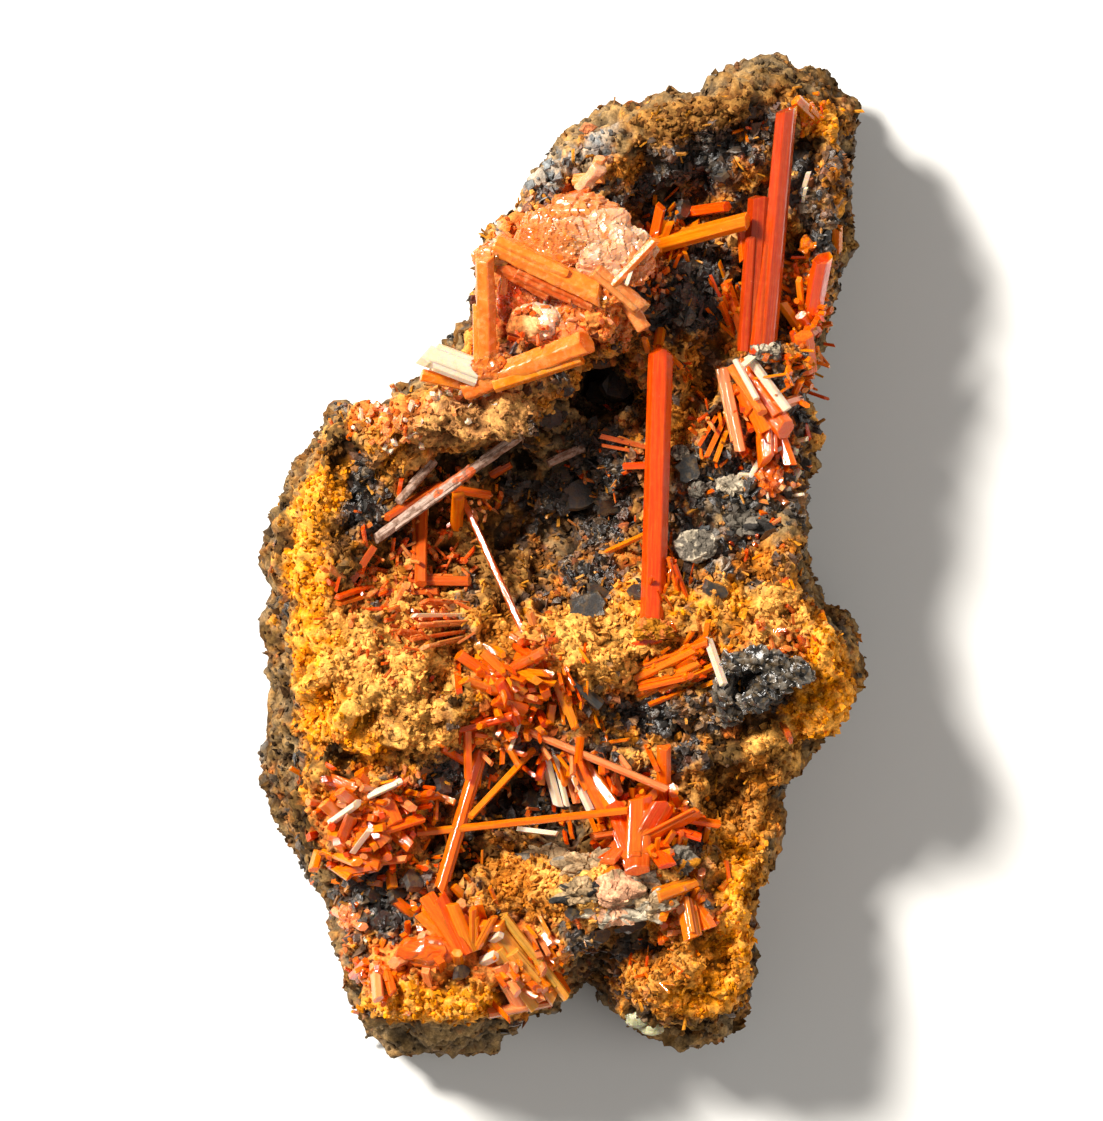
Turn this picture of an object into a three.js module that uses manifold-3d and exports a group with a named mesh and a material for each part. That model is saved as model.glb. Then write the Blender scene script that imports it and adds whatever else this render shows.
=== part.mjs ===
import * as THREE from "three";
import { mergeVertices } from "three/addons/utils/BufferGeometryUtils.js";
import { ImprovedNoise } from "three/addons/math/ImprovedNoise.js";
import Module from "manifold-3d";

// Crocoite specimen: orange-red prisms grown on a piece of spongy iron-oxide matrix.
// Millimetres, +Z up. The specimen lies on its trimmed back, its length runs along Y,
// and the origin is the middle of its base.

const wasm = await Module();
wasm.setup();

// Driving dimensions
const BENCH_LEVEL = 20;
const GROWTH_GAP = 0.4;
const CENTRING = [-0.33, -0.19];
const COLUMNS = 23;
const ROWS = 36;
const LAYERS = 5;
const BURIED_BASE = -4;
const CRYSTAL_SIDES = 6;
const NEEDLE_SIDES = 4;
const NEEDLE_WIDTH = 1.55;

// Roughness of the matrix: how far and over what distance the surface wanders
const COARSE_WANDER = { reach: 2.2, span: 8.3 };
const FINE_WANDER = { reach: 1.1, span: 4.1 };
const KNOBBLE_MEAN = 0.4;

// Finishes
const GOSSAN = { color: 0x7d5a28, roughness: 0.95, metalness: 0 };
const CROCOITE = { color: 0xd5430f, roughness: 0.25, metalness: 0 };
const STAINED_CROCOITE = { color: 0xdf8a58, roughness: 0.5, metalness: 0 };
const COATED_CRYSTAL = { color: 0xa9a096, roughness: 0.7, metalness: 0 };
const OXIDE_CRYSTAL = { color: 0x4b535c, roughness: 0.45, metalness: 0 };
const PALE_CHIP = { color: 0xc9c793, roughness: 0.5, metalness: 0 };

// Outline of the matrix seen from above, as four edges that meet at the corners
const LEFT_EDGE = [
  [-19.3, -48.0], [-22.8, -40.5], [-23.3, -35.0], [-27.3, -29.5], [-29.6, -21.5],
  [-29.3, -8.5], [-30.5, 1.5], [-25.8, 10.5], [-23.2, 13.6], [-18.4, 14.2],
  [-15.4, 16.4], [-10.8, 21.5], [-8.8, 26.0], [-7.8, 31.5], [-5.4, 32.6], [-2.6, 38.0],
];
const RIGHT_EDGE = [
  [18.9, -46.0], [18.9, -38.5], [19.3, -34.0], [22.7, -29.5], [22.4, -24.5],
  [25.4, -20.0], [28.7, -15.8], [30.5, -13.0], [29.2, -7.5], [25.7, -3.5],
  [25.0, 1.5], [25.4, 9.5], [25.7, 18.5], [28.2, 26.5], [29.4, 31.5], [29.0, 39.5], [29.2, 45.8],
];
const BOTTOM_EDGE = [
  [-19.3, -48.0], [-15.8, -49.7], [-7.8, -50.2], [-2.8, -47.7], [0.7, -44.4],
  [4.2, -43.6], [8.2, -46.7], [13.2, -49.6], [17.2, -48.4], [18.9, -46.0],
];
const TOP_EDGE = [
  [-2.6, 38.0], [0.2, 41.5], [4.2, 44.5], [6.7, 46.2], [14.2, 47.7],
  [17.7, 49.0], [20.7, 50.3], [25.7, 48.7], [29.2, 45.8],
];

// How far each wall stands in from the outline, from the buried base up to the rim,
// as a share of the width or the length
const WALL_INSET = {
  left: [0.05, 0.005, 0.005, 0.025, 0.05, 0.09],
  right: [0.07, 0.035, 0.012, 0, 0.01, 0.04],
  bottom: [0.035, 0.005, 0, 0.012, 0.026, 0.046],
  top: [0.035, 0.012, 0, 0.004, 0.014, 0.036],
};

// Lumps and hollows of the upper surface: middle, reach along and across, turn, rise
const RELIEF = {
  towerRidge: { at: [10, 42.5], reach: [14, 3.6], turn: 0.4, rise: 5 },
  towerHollow: { at: [16, 32], reach: [9, 8], turn: 0, rise: -2.5 },
  towerFlank: { at: [27, 35], reach: [2.2, 6], turn: 0, rise: 1.5 },
  clusterSpur: { at: [-0.5, 27.5], reach: [7.5, 8], turn: 0, rise: 9 },
  frameHollow: { at: [-3.6, 24.6], reach: [2.4, 3.4], turn: 0, rise: -4.5 },
  ledgeBank: { at: [-8.5, 15], reach: [9.5, 3.4], turn: 0.2, rise: 7 },
  shadedGully: { at: [7.5, 34], reach: [2.2, 3.5], turn: 0, rise: -4 },
  beamCavity: { at: [5, 16.5], reach: [4, 3], turn: 0, rise: -8 },
  vug: { at: [-1, 5], reach: [8, 8], turn: 0, rise: -8 },
  leftPocket: { at: [-13, 3.5], reach: [5.5, 4.8], turn: 0, rise: -5 },
  leftShoulder: { at: [-24, 4], reach: [5, 8], turn: 0, rise: 5 },
  leftLobe: { at: [-20, -14], reach: [9, 8], turn: 0, rise: 6 },
  ochreBank: { at: [2, -9], reach: [12, 4], turn: 0, rise: 3.5 },
  rightColumn: { at: [17, 8], reach: [6, 10], turn: 0, rise: 1.5 },
  greyScale: { at: [13.8, 0.8], reach: [2, 1.6], turn: 0, rise: 1.6 },
  greyNodule: { at: [20.4, 20.3], reach: [1.5, 1.3], turn: 0, rise: 1.4 },
  rightLobe: { at: [23, -10], reach: [6, 6], turn: 0, rise: 2.5 },
  loopShoulder: { at: [23.6, -11], reach: [2.6, 1.6], turn: 0, rise: 1.4 },
  sheafDip: { at: [8.5, -17], reach: [5, 2.5], turn: 0, rise: -3.5 },
  lowerHollow: { at: [-3, -26], reach: [9, 5.5], turn: 0, rise: -7 },
  knobByFan: { at: [13, -28.8], reach: [2.6, 1.8], turn: 0.3, rise: 3 },
  brownSlope: { at: [20, -26], reach: [6, 5], turn: 0, rise: -6 },
  greyRidge: { at: [6, -34], reach: [8, 3.4], turn: -0.1, rise: 5 },
  ridgeDip: { at: [6, -40], reach: [6, 2.2], turn: 0, rise: -4.5 },
  darkPatch: { at: [-17, -35], reach: [5, 3.2], turn: 0, rise: -3 },
  darkKnob: { at: [-14.8, -31.8], reach: [2.2, 2], turn: 0, rise: 2.4 },
  druseBank: { at: [-21, -27], reach: [5, 5], turn: 0, rise: 2 },
  leftFoot: { at: [-10, -41], reach: [9, 4], turn: 0, rise: 1 },
};

const noise = new ImprovedNoise();

const edgeCurve = (points) => new THREE.SplineCurve(points.map(([x, y]) => new THREE.Vector2(x, y)));
const leftCurve = edgeCurve(LEFT_EDGE);
const rightCurve = edgeCurve(RIGHT_EDGE);
const bottomCurve = edgeCurve(BOTTOM_EDGE);
const topCurve = edgeCurve(TOP_EDGE);
const corner = (points, end) => new THREE.Vector2(...points.at(end));
const CORNERS = {
  bottomLeft: corner(BOTTOM_EDGE, 0),
  bottomRight: corner(BOTTOM_EDGE, -1),
  topLeft: corner(TOP_EDGE, 0),
  topRight: corner(TOP_EDGE, -1),
};

// Level of the smooth upper surface at a place on the matrix
function ground(x, y) {
  let level = BENCH_LEVEL;
  for (const { at: [cx, cy], reach: [along, across], turn, rise } of Object.values(RELIEF)) {
    const dx = x - cx;
    const dy = y - cy;
    const a = (dx * Math.cos(turn) + dy * Math.sin(turn)) / along;
    const b = (dy * Math.cos(turn) - dx * Math.sin(turn)) / across;
    level += rise * Math.exp(-a * a - b * b);
  }
  return level;
}

// A point inside the outline, blended from its four edges
function spread(u, v) {
  const across = leftCurve.getPointAt(v).multiplyScalar(1 - u);
  across.addScaledVector(rightCurve.getPointAt(v), u);
  const along = bottomCurve.getPointAt(u).multiplyScalar(1 - v);
  along.addScaledVector(topCurve.getPointAt(u), v);
  const shared = CORNERS.bottomLeft.clone().multiplyScalar((1 - u) * (1 - v));
  shared.addScaledVector(CORNERS.bottomRight, u * (1 - v));
  shared.addScaledVector(CORNERS.topLeft, (1 - u) * v);
  shared.addScaledVector(CORNERS.topRight, u * v);
  return across.add(along).sub(shared);
}

// The rock's wandering surface, the same for every point at the same place
function wander(point) {
  const shift = new THREE.Vector3();
  for (const { reach, span } of [COARSE_WANDER, FINE_WANDER]) {
    const x = point.x / span;
    const y = point.y / span;
    const z = point.z / span;
    shift.x += 0.7 * reach * noise.noise(x + 11, y, z);
    shift.y += 0.7 * reach * noise.noise(x, y + 23, z);
    shift.z += reach * (2 * Math.abs(noise.noise(x, y, z + 37)) - KNOBBLE_MEAN);
  }
  return point.add(shift);
}

function withoutSeams(geometry) {
  geometry.deleteAttribute("normal");
  geometry.deleteAttribute("uv");
  return mergeVertices(geometry, 1e-4);
}

// Moves every vertex out along its normal, to keep a gap round what grows on a surface
function grown(geometry, distance) {
  const swollen = geometry.clone();
  swollen.computeVertexNormals();
  const { position, normal } = swollen.attributes;
  for (let i = 0; i < position.count; i += 1) {
    position.setXYZ(
      i,
      position.getX(i) + distance * normal.getX(i),
      position.getY(i) + distance * normal.getY(i),
      position.getZ(i) + distance * normal.getZ(i),
    );
  }
  swollen.deleteAttribute("normal");
  return swollen;
}

function toSolid(geometry) {
  const triVerts = Uint32Array.from(geometry.index.array);
  const vertProperties = Float32Array.from(geometry.attributes.position.array);
  return new wasm.Manifold(new wasm.Mesh({ numProp: 3, vertProperties, triVerts }));
}

function toGeometry(solid) {
  const { vertProperties, triVerts } = solid.getMesh();
  const geometry = new THREE.BufferGeometry();
  geometry.setAttribute("position", new THREE.BufferAttribute(Float32Array.from(vertProperties), 3));
  geometry.setIndex(new THREE.BufferAttribute(Uint32Array.from(triVerts), 1));
  return geometry;
}

// Keeps the largest of the pieces that a cut leaves
function largest(solid) {
  const pieces = solid.decompose();
  return pieces.reduce((best, piece) => (piece.volume() > best.volume() ? piece : best));
}

// Body of the matrix: a box of cells, its sides drawn to the outline and its top to the relief
function slabGeometry() {
  const geometry = new THREE.BoxGeometry(1, 1, 1, COLUMNS, ROWS, LAYERS);
  const position = geometry.attributes.position;
  for (let i = 0; i < position.count; i += 1) {
    const column = Math.round((position.getX(i) + 0.5) * COLUMNS);
    const row = Math.round((position.getY(i) + 0.5) * ROWS);
    const layer = Math.round((position.getZ(i) + 0.5) * LAYERS);
    const { left, right, bottom, top } = WALL_INSET;
    const u = THREE.MathUtils.lerp(left[layer], 1 - right[layer], column / COLUMNS);
    const v = THREE.MathUtils.lerp(bottom[layer], 1 - top[layer], row / ROWS);
    const place = spread(u, v);
    const z = THREE.MathUtils.lerp(BURIED_BASE, ground(place.x, place.y), layer / LAYERS);
    const point = wander(new THREE.Vector3(place.x, place.y, z));
    position.setXYZ(i, point.x, point.y, point.z);
  }
  return withoutSeams(geometry);
}

// A rough rounded lump
function lump(middle, size, detail = 0) {
  const geometry = withoutSeams(new THREE.IcosahedronGeometry(1, detail));
  const position = geometry.attributes.position;
  for (let i = 0; i < position.count; i += 1) {
    const point = new THREE.Vector3().fromBufferAttribute(position, i);
    const place = point.clone().multiplyScalar(1.7).add(middle);
    point.multiplyScalar(1 + 0.5 * noise.noise(place.x, place.y, place.z));
    position.setXYZ(i, point.x, point.y, point.z);
  }
  geometry.scale(...size);
  geometry.translate(middle.x, middle.y, middle.z);
  return geometry;
}

// The black lump with a hole through it, at the inner side of the right lobe
function loop(middle) {
  const geometry = withoutSeams(new THREE.TorusGeometry(2.5, 1.2, 5, 9));
  geometry.scale(1, 0.85, 1.1);
  geometry.rotateZ(0.5);
  geometry.translate(...middle);
  return geometry;
}

const at = (x, y, z) => new THREE.Vector3(x, y, z);

// Lumps that overhang the matrix's surface, and pockets that undercut it
const MATRIX_LUMPS = [
  lump(at(-12.5, 13.6, 25.0), [4.6, 2.8, 2.4], 1),
  lump(at(-6.4, 13.4, 25.4), [5.0, 2.8, 2.2], 1),
  lump(at(2.6, 32.2, 30.6), [5.6, 3.8, 2.6], 1),
  lump(at(-2.0, 33.0, 29.6), [3.6, 2.6, 2.6]),
  lump(at(6.6, 29.9, 29.6), [3.0, 2.6, 2.6]),
  lump(at(-1.6, 22.8, 28.4), [2.8, 2.2, 2.6]),
  lump(at(2.8, 23.4, 28.4), [3.1, 2.6, 2.6]),
  loop([18.8, -12.6, 22.4]),
];
const MATRIX_POCKETS = [
  lump(at(-6.5, 8.6, 17.5), [6.2, 3.6, 4.2], 1),
  lump(at(4.2, 17.0, 15.5), [4.4, 4.0, 5.0], 1),
  lump(at(-1.5, -23.0, 15.0), [6.0, 3.2, 3.2], 1),
];

// The matrix, swollen by a distance when it serves to trim what grows on it
function matrixSolid(swell) {
  let solid = toSolid(grown(slabGeometry(), swell));
  for (const extra of MATRIX_LUMPS) {
    solid = solid.add(toSolid(grown(extra, swell)));
  }
  for (const pocket of MATRIX_POCKETS) {
    solid = solid.subtract(toSolid(grown(pocket, -swell)));
  }
  const floor = new THREE.BoxGeometry(200, 200, 40);
  floor.translate(0, 0, -20);
  return largest(solid.subtract(toSolid(withoutSeams(floor))));
}

// A prism from its foot to its tip. The tip is cut aslant, and tapers if asked
function rod(foot, tip, width, { depth = width * 0.9, slant = 0.5, taper = 0.92, roll = 0.4, sides } = {}) {
  const length = foot.distanceTo(tip);
  const faces = sides ?? (width < NEEDLE_WIDTH ? NEEDLE_SIDES : CRYSTAL_SIDES);
  const geometry = withoutSeams(new THREE.CylinderGeometry(0.5 * taper, 0.5, length, faces, 1));
  geometry.scale(width, 1, depth);
  const position = geometry.attributes.position;
  for (let i = 0; i < position.count; i += 1) {
    if (position.getY(i) > 0) {
      position.setY(i, position.getY(i) + slant * position.getX(i) - 0.5 * Math.abs(slant) * width);
    }
  }
  geometry.rotateY(roll);
  const direction = tip.clone().sub(foot).normalize();
  geometry.applyQuaternion(new THREE.Quaternion().setFromUnitVectors(THREE.Object3D.DEFAULT_UP, direction));
  geometry.translate(...foot.clone().add(tip).multiplyScalar(0.5));
  return geometry;
}

const bead = (middle, radius) => lump(middle, [radius, radius, radius]);

const specimen = new THREE.Group();
specimen.position.set(...CENTRING, 0);
const trimmer = matrixSolid(GROWTH_GAP);
const occupied = [];

function addPiece(name, solid, finish) {
  const mesh = new THREE.Mesh(toGeometry(solid), new THREE.MeshStandardMaterial(finish));
  mesh.geometry.computeVertexNormals();
  mesh.name = name;
  specimen.add(mesh);
}

const meets = (a, b) => [0, 1, 2].every((axis) => a.min[axis] <= b.max[axis] && b.min[axis] <= a.max[axis]);

// Crystals grown together: one solid, trimmed to the matrix and clear of its neighbours
function grow(name, finish, crystals) {
  let solid = crystals.map(toSolid).reduce((whole, crystal) => whole.add(crystal));
  solid = solid.subtract(trimmer);
  for (const neighbour of occupied) {
    if (meets(solid.boundingBox(), neighbour.boundingBox())) {
      solid = solid.subtract(neighbour);
    }
  }
  solid = largest(solid);
  addPiece(name, solid, finish);
  occupied.push(toSolid(grown(withoutSeams(toGeometry(solid)), GROWTH_GAP)));
}

addPiece("limonite_matrix", matrixSolid(0), GOSSAN);

// A place above the matrix, measured from its surface straight below
const plumb = new THREE.Raycaster();
const DOWN = new THREE.Vector3(0, 0, -1);
function over(x, y, lift) {
  plumb.set(new THREE.Vector3(x, y, 100), DOWN);
  const [hit] = plumb.intersectObject(specimen.children[0]);
  return new THREE.Vector3(x, y, hit.point.z + lift);
}

grow("tower_tall_prism", CROCOITE, [
  rod(over(20.6, 19.9, 0.6), over(22.8, 44.7, 2.4), 2.4, { sides: 8, slant: 0.3 }),
  rod(over(19.3, 20.3, 0.4), over(20.1, 35.8, 5.2), 2.2),
]);

grow("tower_side_prisms", CROCOITE, [
  rod(over(18.8, 21.6, -0.8), over(16.7, 27.4, 2.2), 1.3),
  rod(over(18.6, 20.8, -0.8), over(19.3, 30.2, 4.0), 1.6),
]);

grow("tower_tip_chip", CROCOITE, [
  rod(over(26.0, 43.4, -0.8), over(23.6, 45.5, 2.2), 1.6),
]);

grow("tower_cross_prism", CROCOITE, [
  rod(over(9.0, 30.7, 0.2), over(19.0, 33.2, 6.6), 1.7, { roll: 0 }),
  rod(over(9.2, 29.6, -0.8), over(10.3, 35.0, 4.6), 1.5),
]);

grow("tower_back_plate", CROCOITE, [
  rod(over(13.2, 34.4, -0.6), over(17.0, 34.8, 3.4), 1.4),
]);

grow("tower_rim_prisms", CROCOITE, [
  rod(over(25.3, 23.6, -0.8), over(26.4, 29.8, 3.2), 2.4, { slant: 0.9 }),
  rod(over(24.2, 22.6, -0.8), over(22.2, 25.4, 2.2), 1.4),
  lump(over(24.8, 23.2, 0), [2.0, 2.0, 1.4]),
]);

grow("tower_rim_bead", CROCOITE, [
  rod(over(25.0, 29.4, -0.8), over(24.9, 30.8, 1.6), 0.8),
  bead(over(24.8, 30.9, 1.6), 0.8),
]);

grow("tower_rim_plate", CROCOITE, [
  rod(over(24.9, 18.2, -0.6), over(24.4, 22.2, 2.2), 2.4, { depth: 1.3 }),
]);

grow("tower_rim_chip", CROCOITE, [
  rod(over(28.0, 30.4, -0.8), over(28.0, 33.0, 1.8), 1.3),
]);

grow("tower_white_needle", CROCOITE, [
  rod(over(24.0, 34.6, -0.8), over(25.0, 38.2, 2.0), 0.8),
]);

grow("centre_prism", CROCOITE, [
  rod(over(9.4, -6.8, -0.8), over(10.2, 21.1, 2.8), 2.7, { sides: 8, slant: 0.15, roll: 0.2 }),
  lump(over(10.4, 21.6, 0.6), [1.7, 1.3, 2.2]),
  rod(over(4.2, 0.0, -0.4), over(9.2, 2.3, 4.6), 0.8),
]);

grow("stained_cluster", STAINED_CROCOITE, [
  rod(at(-7.1, 17.4, 28.4), at(-7.2, 29.6, 31.6), 2.2, { slant: 0.2 }),
  rod(at(-9.8, 16.2, 27.2), at(3.4, 21.2, 30.0), 3.0, { slant: 0.2 }),
  rod(at(-7.2, 29.2, 30.0), at(0.8, 25.4, 29.8), 1.6),
  rod(at(-8.0, 18.2, 28.6), at(-13.6, 19.9, 30.4), 2.7, { slant: 0.6 }),
  rod(at(-8.6, 16.8, 27.6), at(-13.6, 18.1, 28.4), 1.6),
]);

grow("stained_diagonal", STAINED_CROCOITE, [
  rod(at(-5.6, 31.0, 31.2), at(5.4, 26.0, 31.2), 2.7, { slant: 0.3 }),
  rod(at(4.2, 27.8, 31.2), at(8.7, 24.4, 29.8), 1.7),
  rod(at(4.4, 27.0, 31.4), at(9.8, 31.0, 32.6), 1.5),
]);

grow("stained_beads", STAINED_CROCOITE, [
  bead(over(5.2, 21.6, 0.4), 1.0),
  bead(over(6.5, 22.2, 0.6), 1.0),
  bead(over(5.6, 23.0, 0.6), 0.9),
]);

grow("upper_rim_lump", STAINED_CROCOITE, [
  lump(over(3.2, 37.7, 0.4), [1.9, 2.2, 2.0]),
]);

grow("coated_crystal_long", COATED_CRYSTAL, [
  rod(at(-3.6, 12.0, 20.4), over(-18.2, 1.6, 2.6), 1.5),
]);

grow("coated_crystal_short", COATED_CRYSTAL, [
  rod(over(-12.4, 9.4, -0.6), over(-16.0, 5.2, 2.6), 1.1),
]);

grow("pocket_prisms", CROCOITE, [
  rod(over(-13.7, 5.2, 0.6), over(-13.7, -3.0, 1.2), 1.6),
  rod(over(-18.0, -2.5, -0.8), over(-8.7, -2.6, 1.8), 1.4),
]);

grow("pocket_flat_prism", CROCOITE, [
  rod(over(-11.6, 7.0, 0.6), over(-17.2, 3.6, 1.8), 1.7),
]);

grow("pocket_short_prism", CROCOITE, [
  rod(over(-20.6, -2.6, -0.6), over(-18.2, 1.0, 2.4), 1.3),
]);

grow("long_needle", CROCOITE, [
  rod(over(-3.4, -7.8, -0.6), over(-9.6, 5.8, 3.2), 0.8),
  rod(over(-10.6, 6.6, 2.2), over(-6.8, 6.0, 3.4), 1.2),
  rod(over(-10.2, 2.0, -0.8), over(-9.9, 6.2, 3.4), 1.5),
]);

grow("vug_rods", CROCOITE, [
  rod(over(8.9, 10.8, 0.6), over(4.2, 11.8, 2.4), 0.9),
  lump(over(8.8, 10.4, 0), [1.0, 1.2, 1.4]),
]);

grow("vug_grey_crystal", COATED_CRYSTAL, [
  rod(over(2.6, 10.8, -0.8), over(-1.2, 9.1, 2.0), 1.1),
]);

grow("bank_sheaf", STAINED_CROCOITE, [
  rod(over(-9.0, -6.8, -0.6), over(-14.2, -6.9, 1.8), 1.5),
  rod(over(-9.2, -7.8, -0.8), over(-14.8, -8.6, 1.8), 1.9),
]);

grow("bank_bundle", CROCOITE, [
  rod(over(-9.6, -10.6, -0.4), over(-3.2, -13.4, 1.8), 1.6),
  rod(over(-7.0, -10.4, 0.2), over(-3.4, -13.8, 2.2), 1.5),
  rod(over(-9.8, -12.2, -0.4), over(-4.6, -13.9, 1.4), 1.4),
  rod(over(-5.6, -12.8, 0.2), over(-3.8, -16.2, 1.2), 2.0),
]);

grow("bank_needle", CROCOITE, [
  rod(over(-0.8, -10.6, -0.6), over(1.8, -17.4, 2.4), 1.1),
]);

grow("right_sheaf", CROCOITE, [
  rod(over(8.0, -13.9, -0.4), over(14.2, -10.6, 1.8), 1.4),
  rod(over(7.8, -12.3, -0.4), over(13.8, -9.4, 2.0), 1.4),
  lump(over(11.0, -12.0, 0.2), [2.8, 1.9, 1.1]),
]);

grow("right_white_needle", CROCOITE, [
  rod(over(14.8, -8.0, 0.8), over(16.5, -13.0, 2.4), 1.1),
]);

grow("right_fan", CROCOITE, [
  rod(over(17.8, 19.0, 0.8), over(22.9, 12.7, 4.0), 3.1, { depth: 2.6, roll: 0, slant: 0.3 }),
  rod(over(16.8, 19.0, 0.8), over(18.9, 15.0, 4.2), 1.5),
  rod(over(24.1, 15.6, 0), over(21.6, 14.8, 2.6), 1.4),
  lump(over(18.0, 17.6, 0), [1.9, 1.8, 1.6]),
]);

grow("right_fan_side", CROCOITE, [
  rod(over(16.5, 18.6, 0.4), over(18.2, 10.2, 2.2), 1.5),
]);

grow("right_fan_lump", STAINED_CROCOITE, [
  lump(over(21.0, 7.6, 0.2), [1.6, 1.8, 1.5]),
]);

grow("pale_needle", CROCOITE, [
  rod(over(-4.2, -17.1, -0.4), over(11.0, -23.4, 3.6), 1.1),
]);

grow("hollow_stub", CROCOITE, [
  rod(over(10.6, -24.6, -0.6), over(10.6, -18.7, 3.0), 1.6),
]);

grow("long_hollow_prism", CROCOITE, [
  rod(over(-7.8, -19.6, -0.6), over(-11.9, -33.6, 2.2), 1.7),
  rod(over(-14.0, -27.8, -0.2), over(7.2, -25.4, 5.6), 1.1),
  rod(over(-11.6, -19.2, -0.4), over(-6.2, -22.4, 3.0), 1.3),
]);

grow("hollow_crossing_needle", CROCOITE, [
  rod(over(-1.6, -18.6, -0.8), over(-8.8, -26.2, 4.8), 1.1),
]);

grow("hollow_upper_blade", CROCOITE, [
  rod(over(-0.6, -14.8, -0.4), over(-1.8, -23.2, 4.2), 1.3),
]);

grow("hollow_side_prism", CROCOITE, [
  rod(over(-9.8, -17.4, -0.4), over(-4.4, -16.0, 1.8), 1.2),
]);

grow("lower_hollow_crust", CROCOITE, [
  rod(over(0.8, -18.4, 0.2), over(5.0, -25.8, 4.4), 1.7),
  rod(over(2.2, -20.4, 0), over(6.6, -25.8, 4.6), 1.9),
  rod(over(6.0, -32.2, -0.4), over(9.4, -24.2, 4.2), 3.8, { depth: 1.8 }),
  rod(over(8.9, -32.0, -0.4), over(11.2, -25.0, 3.8), 3.2, { depth: 1.8 }),
  rod(over(3.0, -28.2, 0), over(8.4, -26.0, 4.2), 2.6, { depth: 1.6 }),
]);

grow("hollow_red_plate", CROCOITE, [
  rod(over(8.4, -25.0, 2.4), over(16.3, -26.8, 3.6), 1.8),
]);

grow("lower_left_druse", CROCOITE, [
  rod(over(-18.8, -24.0, 0.4), over(-15.4, -22.4, 2.4), 1.3),
  rod(over(-22.6, -26.6, 0.4), over(-19.8, -24.6, 2.8), 1.4),
  rod(over(-20.4, -29.6, 0.6), over(-18.6, -27.2, 2.8), 1.4),
  rod(over(-17.9, -27.6, 0.6), over(-13.4, -26.2, 2.6), 1.5),
  lump(over(-19.0, -26.6, 0.7), [4.0, 4.4, 1.7]),
]);

grow("druse_upper_prism", CROCOITE, [
  rod(over(-23.4, -22.2, 0), over(-20.0, -23.4, 1.8), 1.4),
]);

grow("lower_left_prism", CROCOITE, [
  rod(over(-21.6, -31.6, 0.6), over(-18.4, -31.0, 2.4), 1.5),
]);

grow("left_wall_crystal", STAINED_CROCOITE, [
  lump(over(-20.6, -36.4, 0.2), [1.8, 1.6, 1.6]),
]);

grow("foot_blocks", CROCOITE, [
  rod(over(-12.9, -33.6, 0.6), over(-9.7, -39.2, 2.6), 3.4, { depth: 2.8 }),
  rod(over(-10.4, -40.3, 0.2), over(-16.3, -39.1, 2.4), 3.2, { depth: 2.8, sides: 8, taper: 0.6, slant: 0 }),
  lump(over(-11.6, -38.4, 0.4), [3.0, 2.6, 1.6]),
]);

grow("foot_fan", CROCOITE, [
  rod(at(-5.4, -36.0, 21.6), at(0.9, -44.3, 19.0), 1.8),
  rod(at(-6.2, -38.2, 21.2), at(-0.8, -44.5, 18.4), 2.3),
  rod(at(-5.6, -40.6, 20.8), at(-2.3, -44.9, 18.2), 2.4),
  rod(at(-7.0, -45.9, 18.4), at(-0.5, -44.7, 17.6), 1.5),
]);

grow("foot_left_druse", CROCOITE, [
  rod(over(-18.4, -40.2, 0), over(-17.9, -44.4, 2.0), 1.5),
  rod(over(-17.2, -41.2, 0.2), over(-16.4, -43.8, 1.8), 1.3),
  lump(over(-18.0, -42.0, 0.2), [2.4, 2.0, 1.4]),
]);

grow("ridge_lens", CROCOITE, [
  rod(over(9.8, -34.0, 0.8), over(14.0, -32.6, 1.8), 1.9, { taper: 0.5 }),
]);

grow("ridge_cluster", CROCOITE, [
  rod(over(12.6, -34.4, -0.2), over(13.3, -38.4, 2.0), 2.2),
  rod(over(13.6, -34.6, 0), over(15.2, -37.4, 2.0), 2.0),
]);

grow("bank_grey_prism", OXIDE_CRYSTAL, [
  rod(over(1.2, -12.6, -0.4), over(4.4, -15.2, 1.8), 1.6),
]);

grow("foot_pale_chip", PALE_CHIP, [
  rod(at(6.9, -45.8, 13.4), at(10.3, -48.2, 11.8), 1.9, { depth: 1 }),
]);

export default specimen;
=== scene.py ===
"""Crocoite specimen: orange-red prisms on spongy iron-oxide matrix, lying on its flat back.

Sizes are millimetres on the plane that the camera looks at, with x to the right, y up the
picture and heights towards the camera. They become metres when a piece is finished.
"""

import logging
import math
import random
from collections.abc import Iterable
from dataclasses import dataclass, field
from enum import Enum

import bmesh
import bpy
import numpy as np
from mathutils import Matrix, Quaternion, Vector, noise
from mathutils.bvhtree import BVHTree

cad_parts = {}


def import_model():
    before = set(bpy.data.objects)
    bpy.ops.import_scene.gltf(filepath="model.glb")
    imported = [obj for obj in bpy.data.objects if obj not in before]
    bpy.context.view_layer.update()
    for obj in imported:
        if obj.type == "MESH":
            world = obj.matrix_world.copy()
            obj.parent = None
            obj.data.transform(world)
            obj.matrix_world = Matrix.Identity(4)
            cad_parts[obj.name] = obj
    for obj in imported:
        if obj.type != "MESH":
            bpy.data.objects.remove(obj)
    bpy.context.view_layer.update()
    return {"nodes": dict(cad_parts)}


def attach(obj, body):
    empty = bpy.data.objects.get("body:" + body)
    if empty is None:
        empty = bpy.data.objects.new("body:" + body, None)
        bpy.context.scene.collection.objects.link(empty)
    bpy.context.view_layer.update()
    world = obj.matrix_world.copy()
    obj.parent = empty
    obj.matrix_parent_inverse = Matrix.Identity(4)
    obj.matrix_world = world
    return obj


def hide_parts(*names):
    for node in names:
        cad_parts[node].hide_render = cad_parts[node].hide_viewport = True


LOG = logging.getLogger("crocoite")
MM = 0.001
CENTRING = (-0.33, -0.19)
MINERAL = "mineral"
GLOSS = "gloss"
GRAIN = "grain"
NOISE_SEED = 7
UP = Vector((0, 0, 1))
CUT_REACH = 1e-5
RING_STEP = 0.55
SLAB_CORNERS = 13
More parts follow.
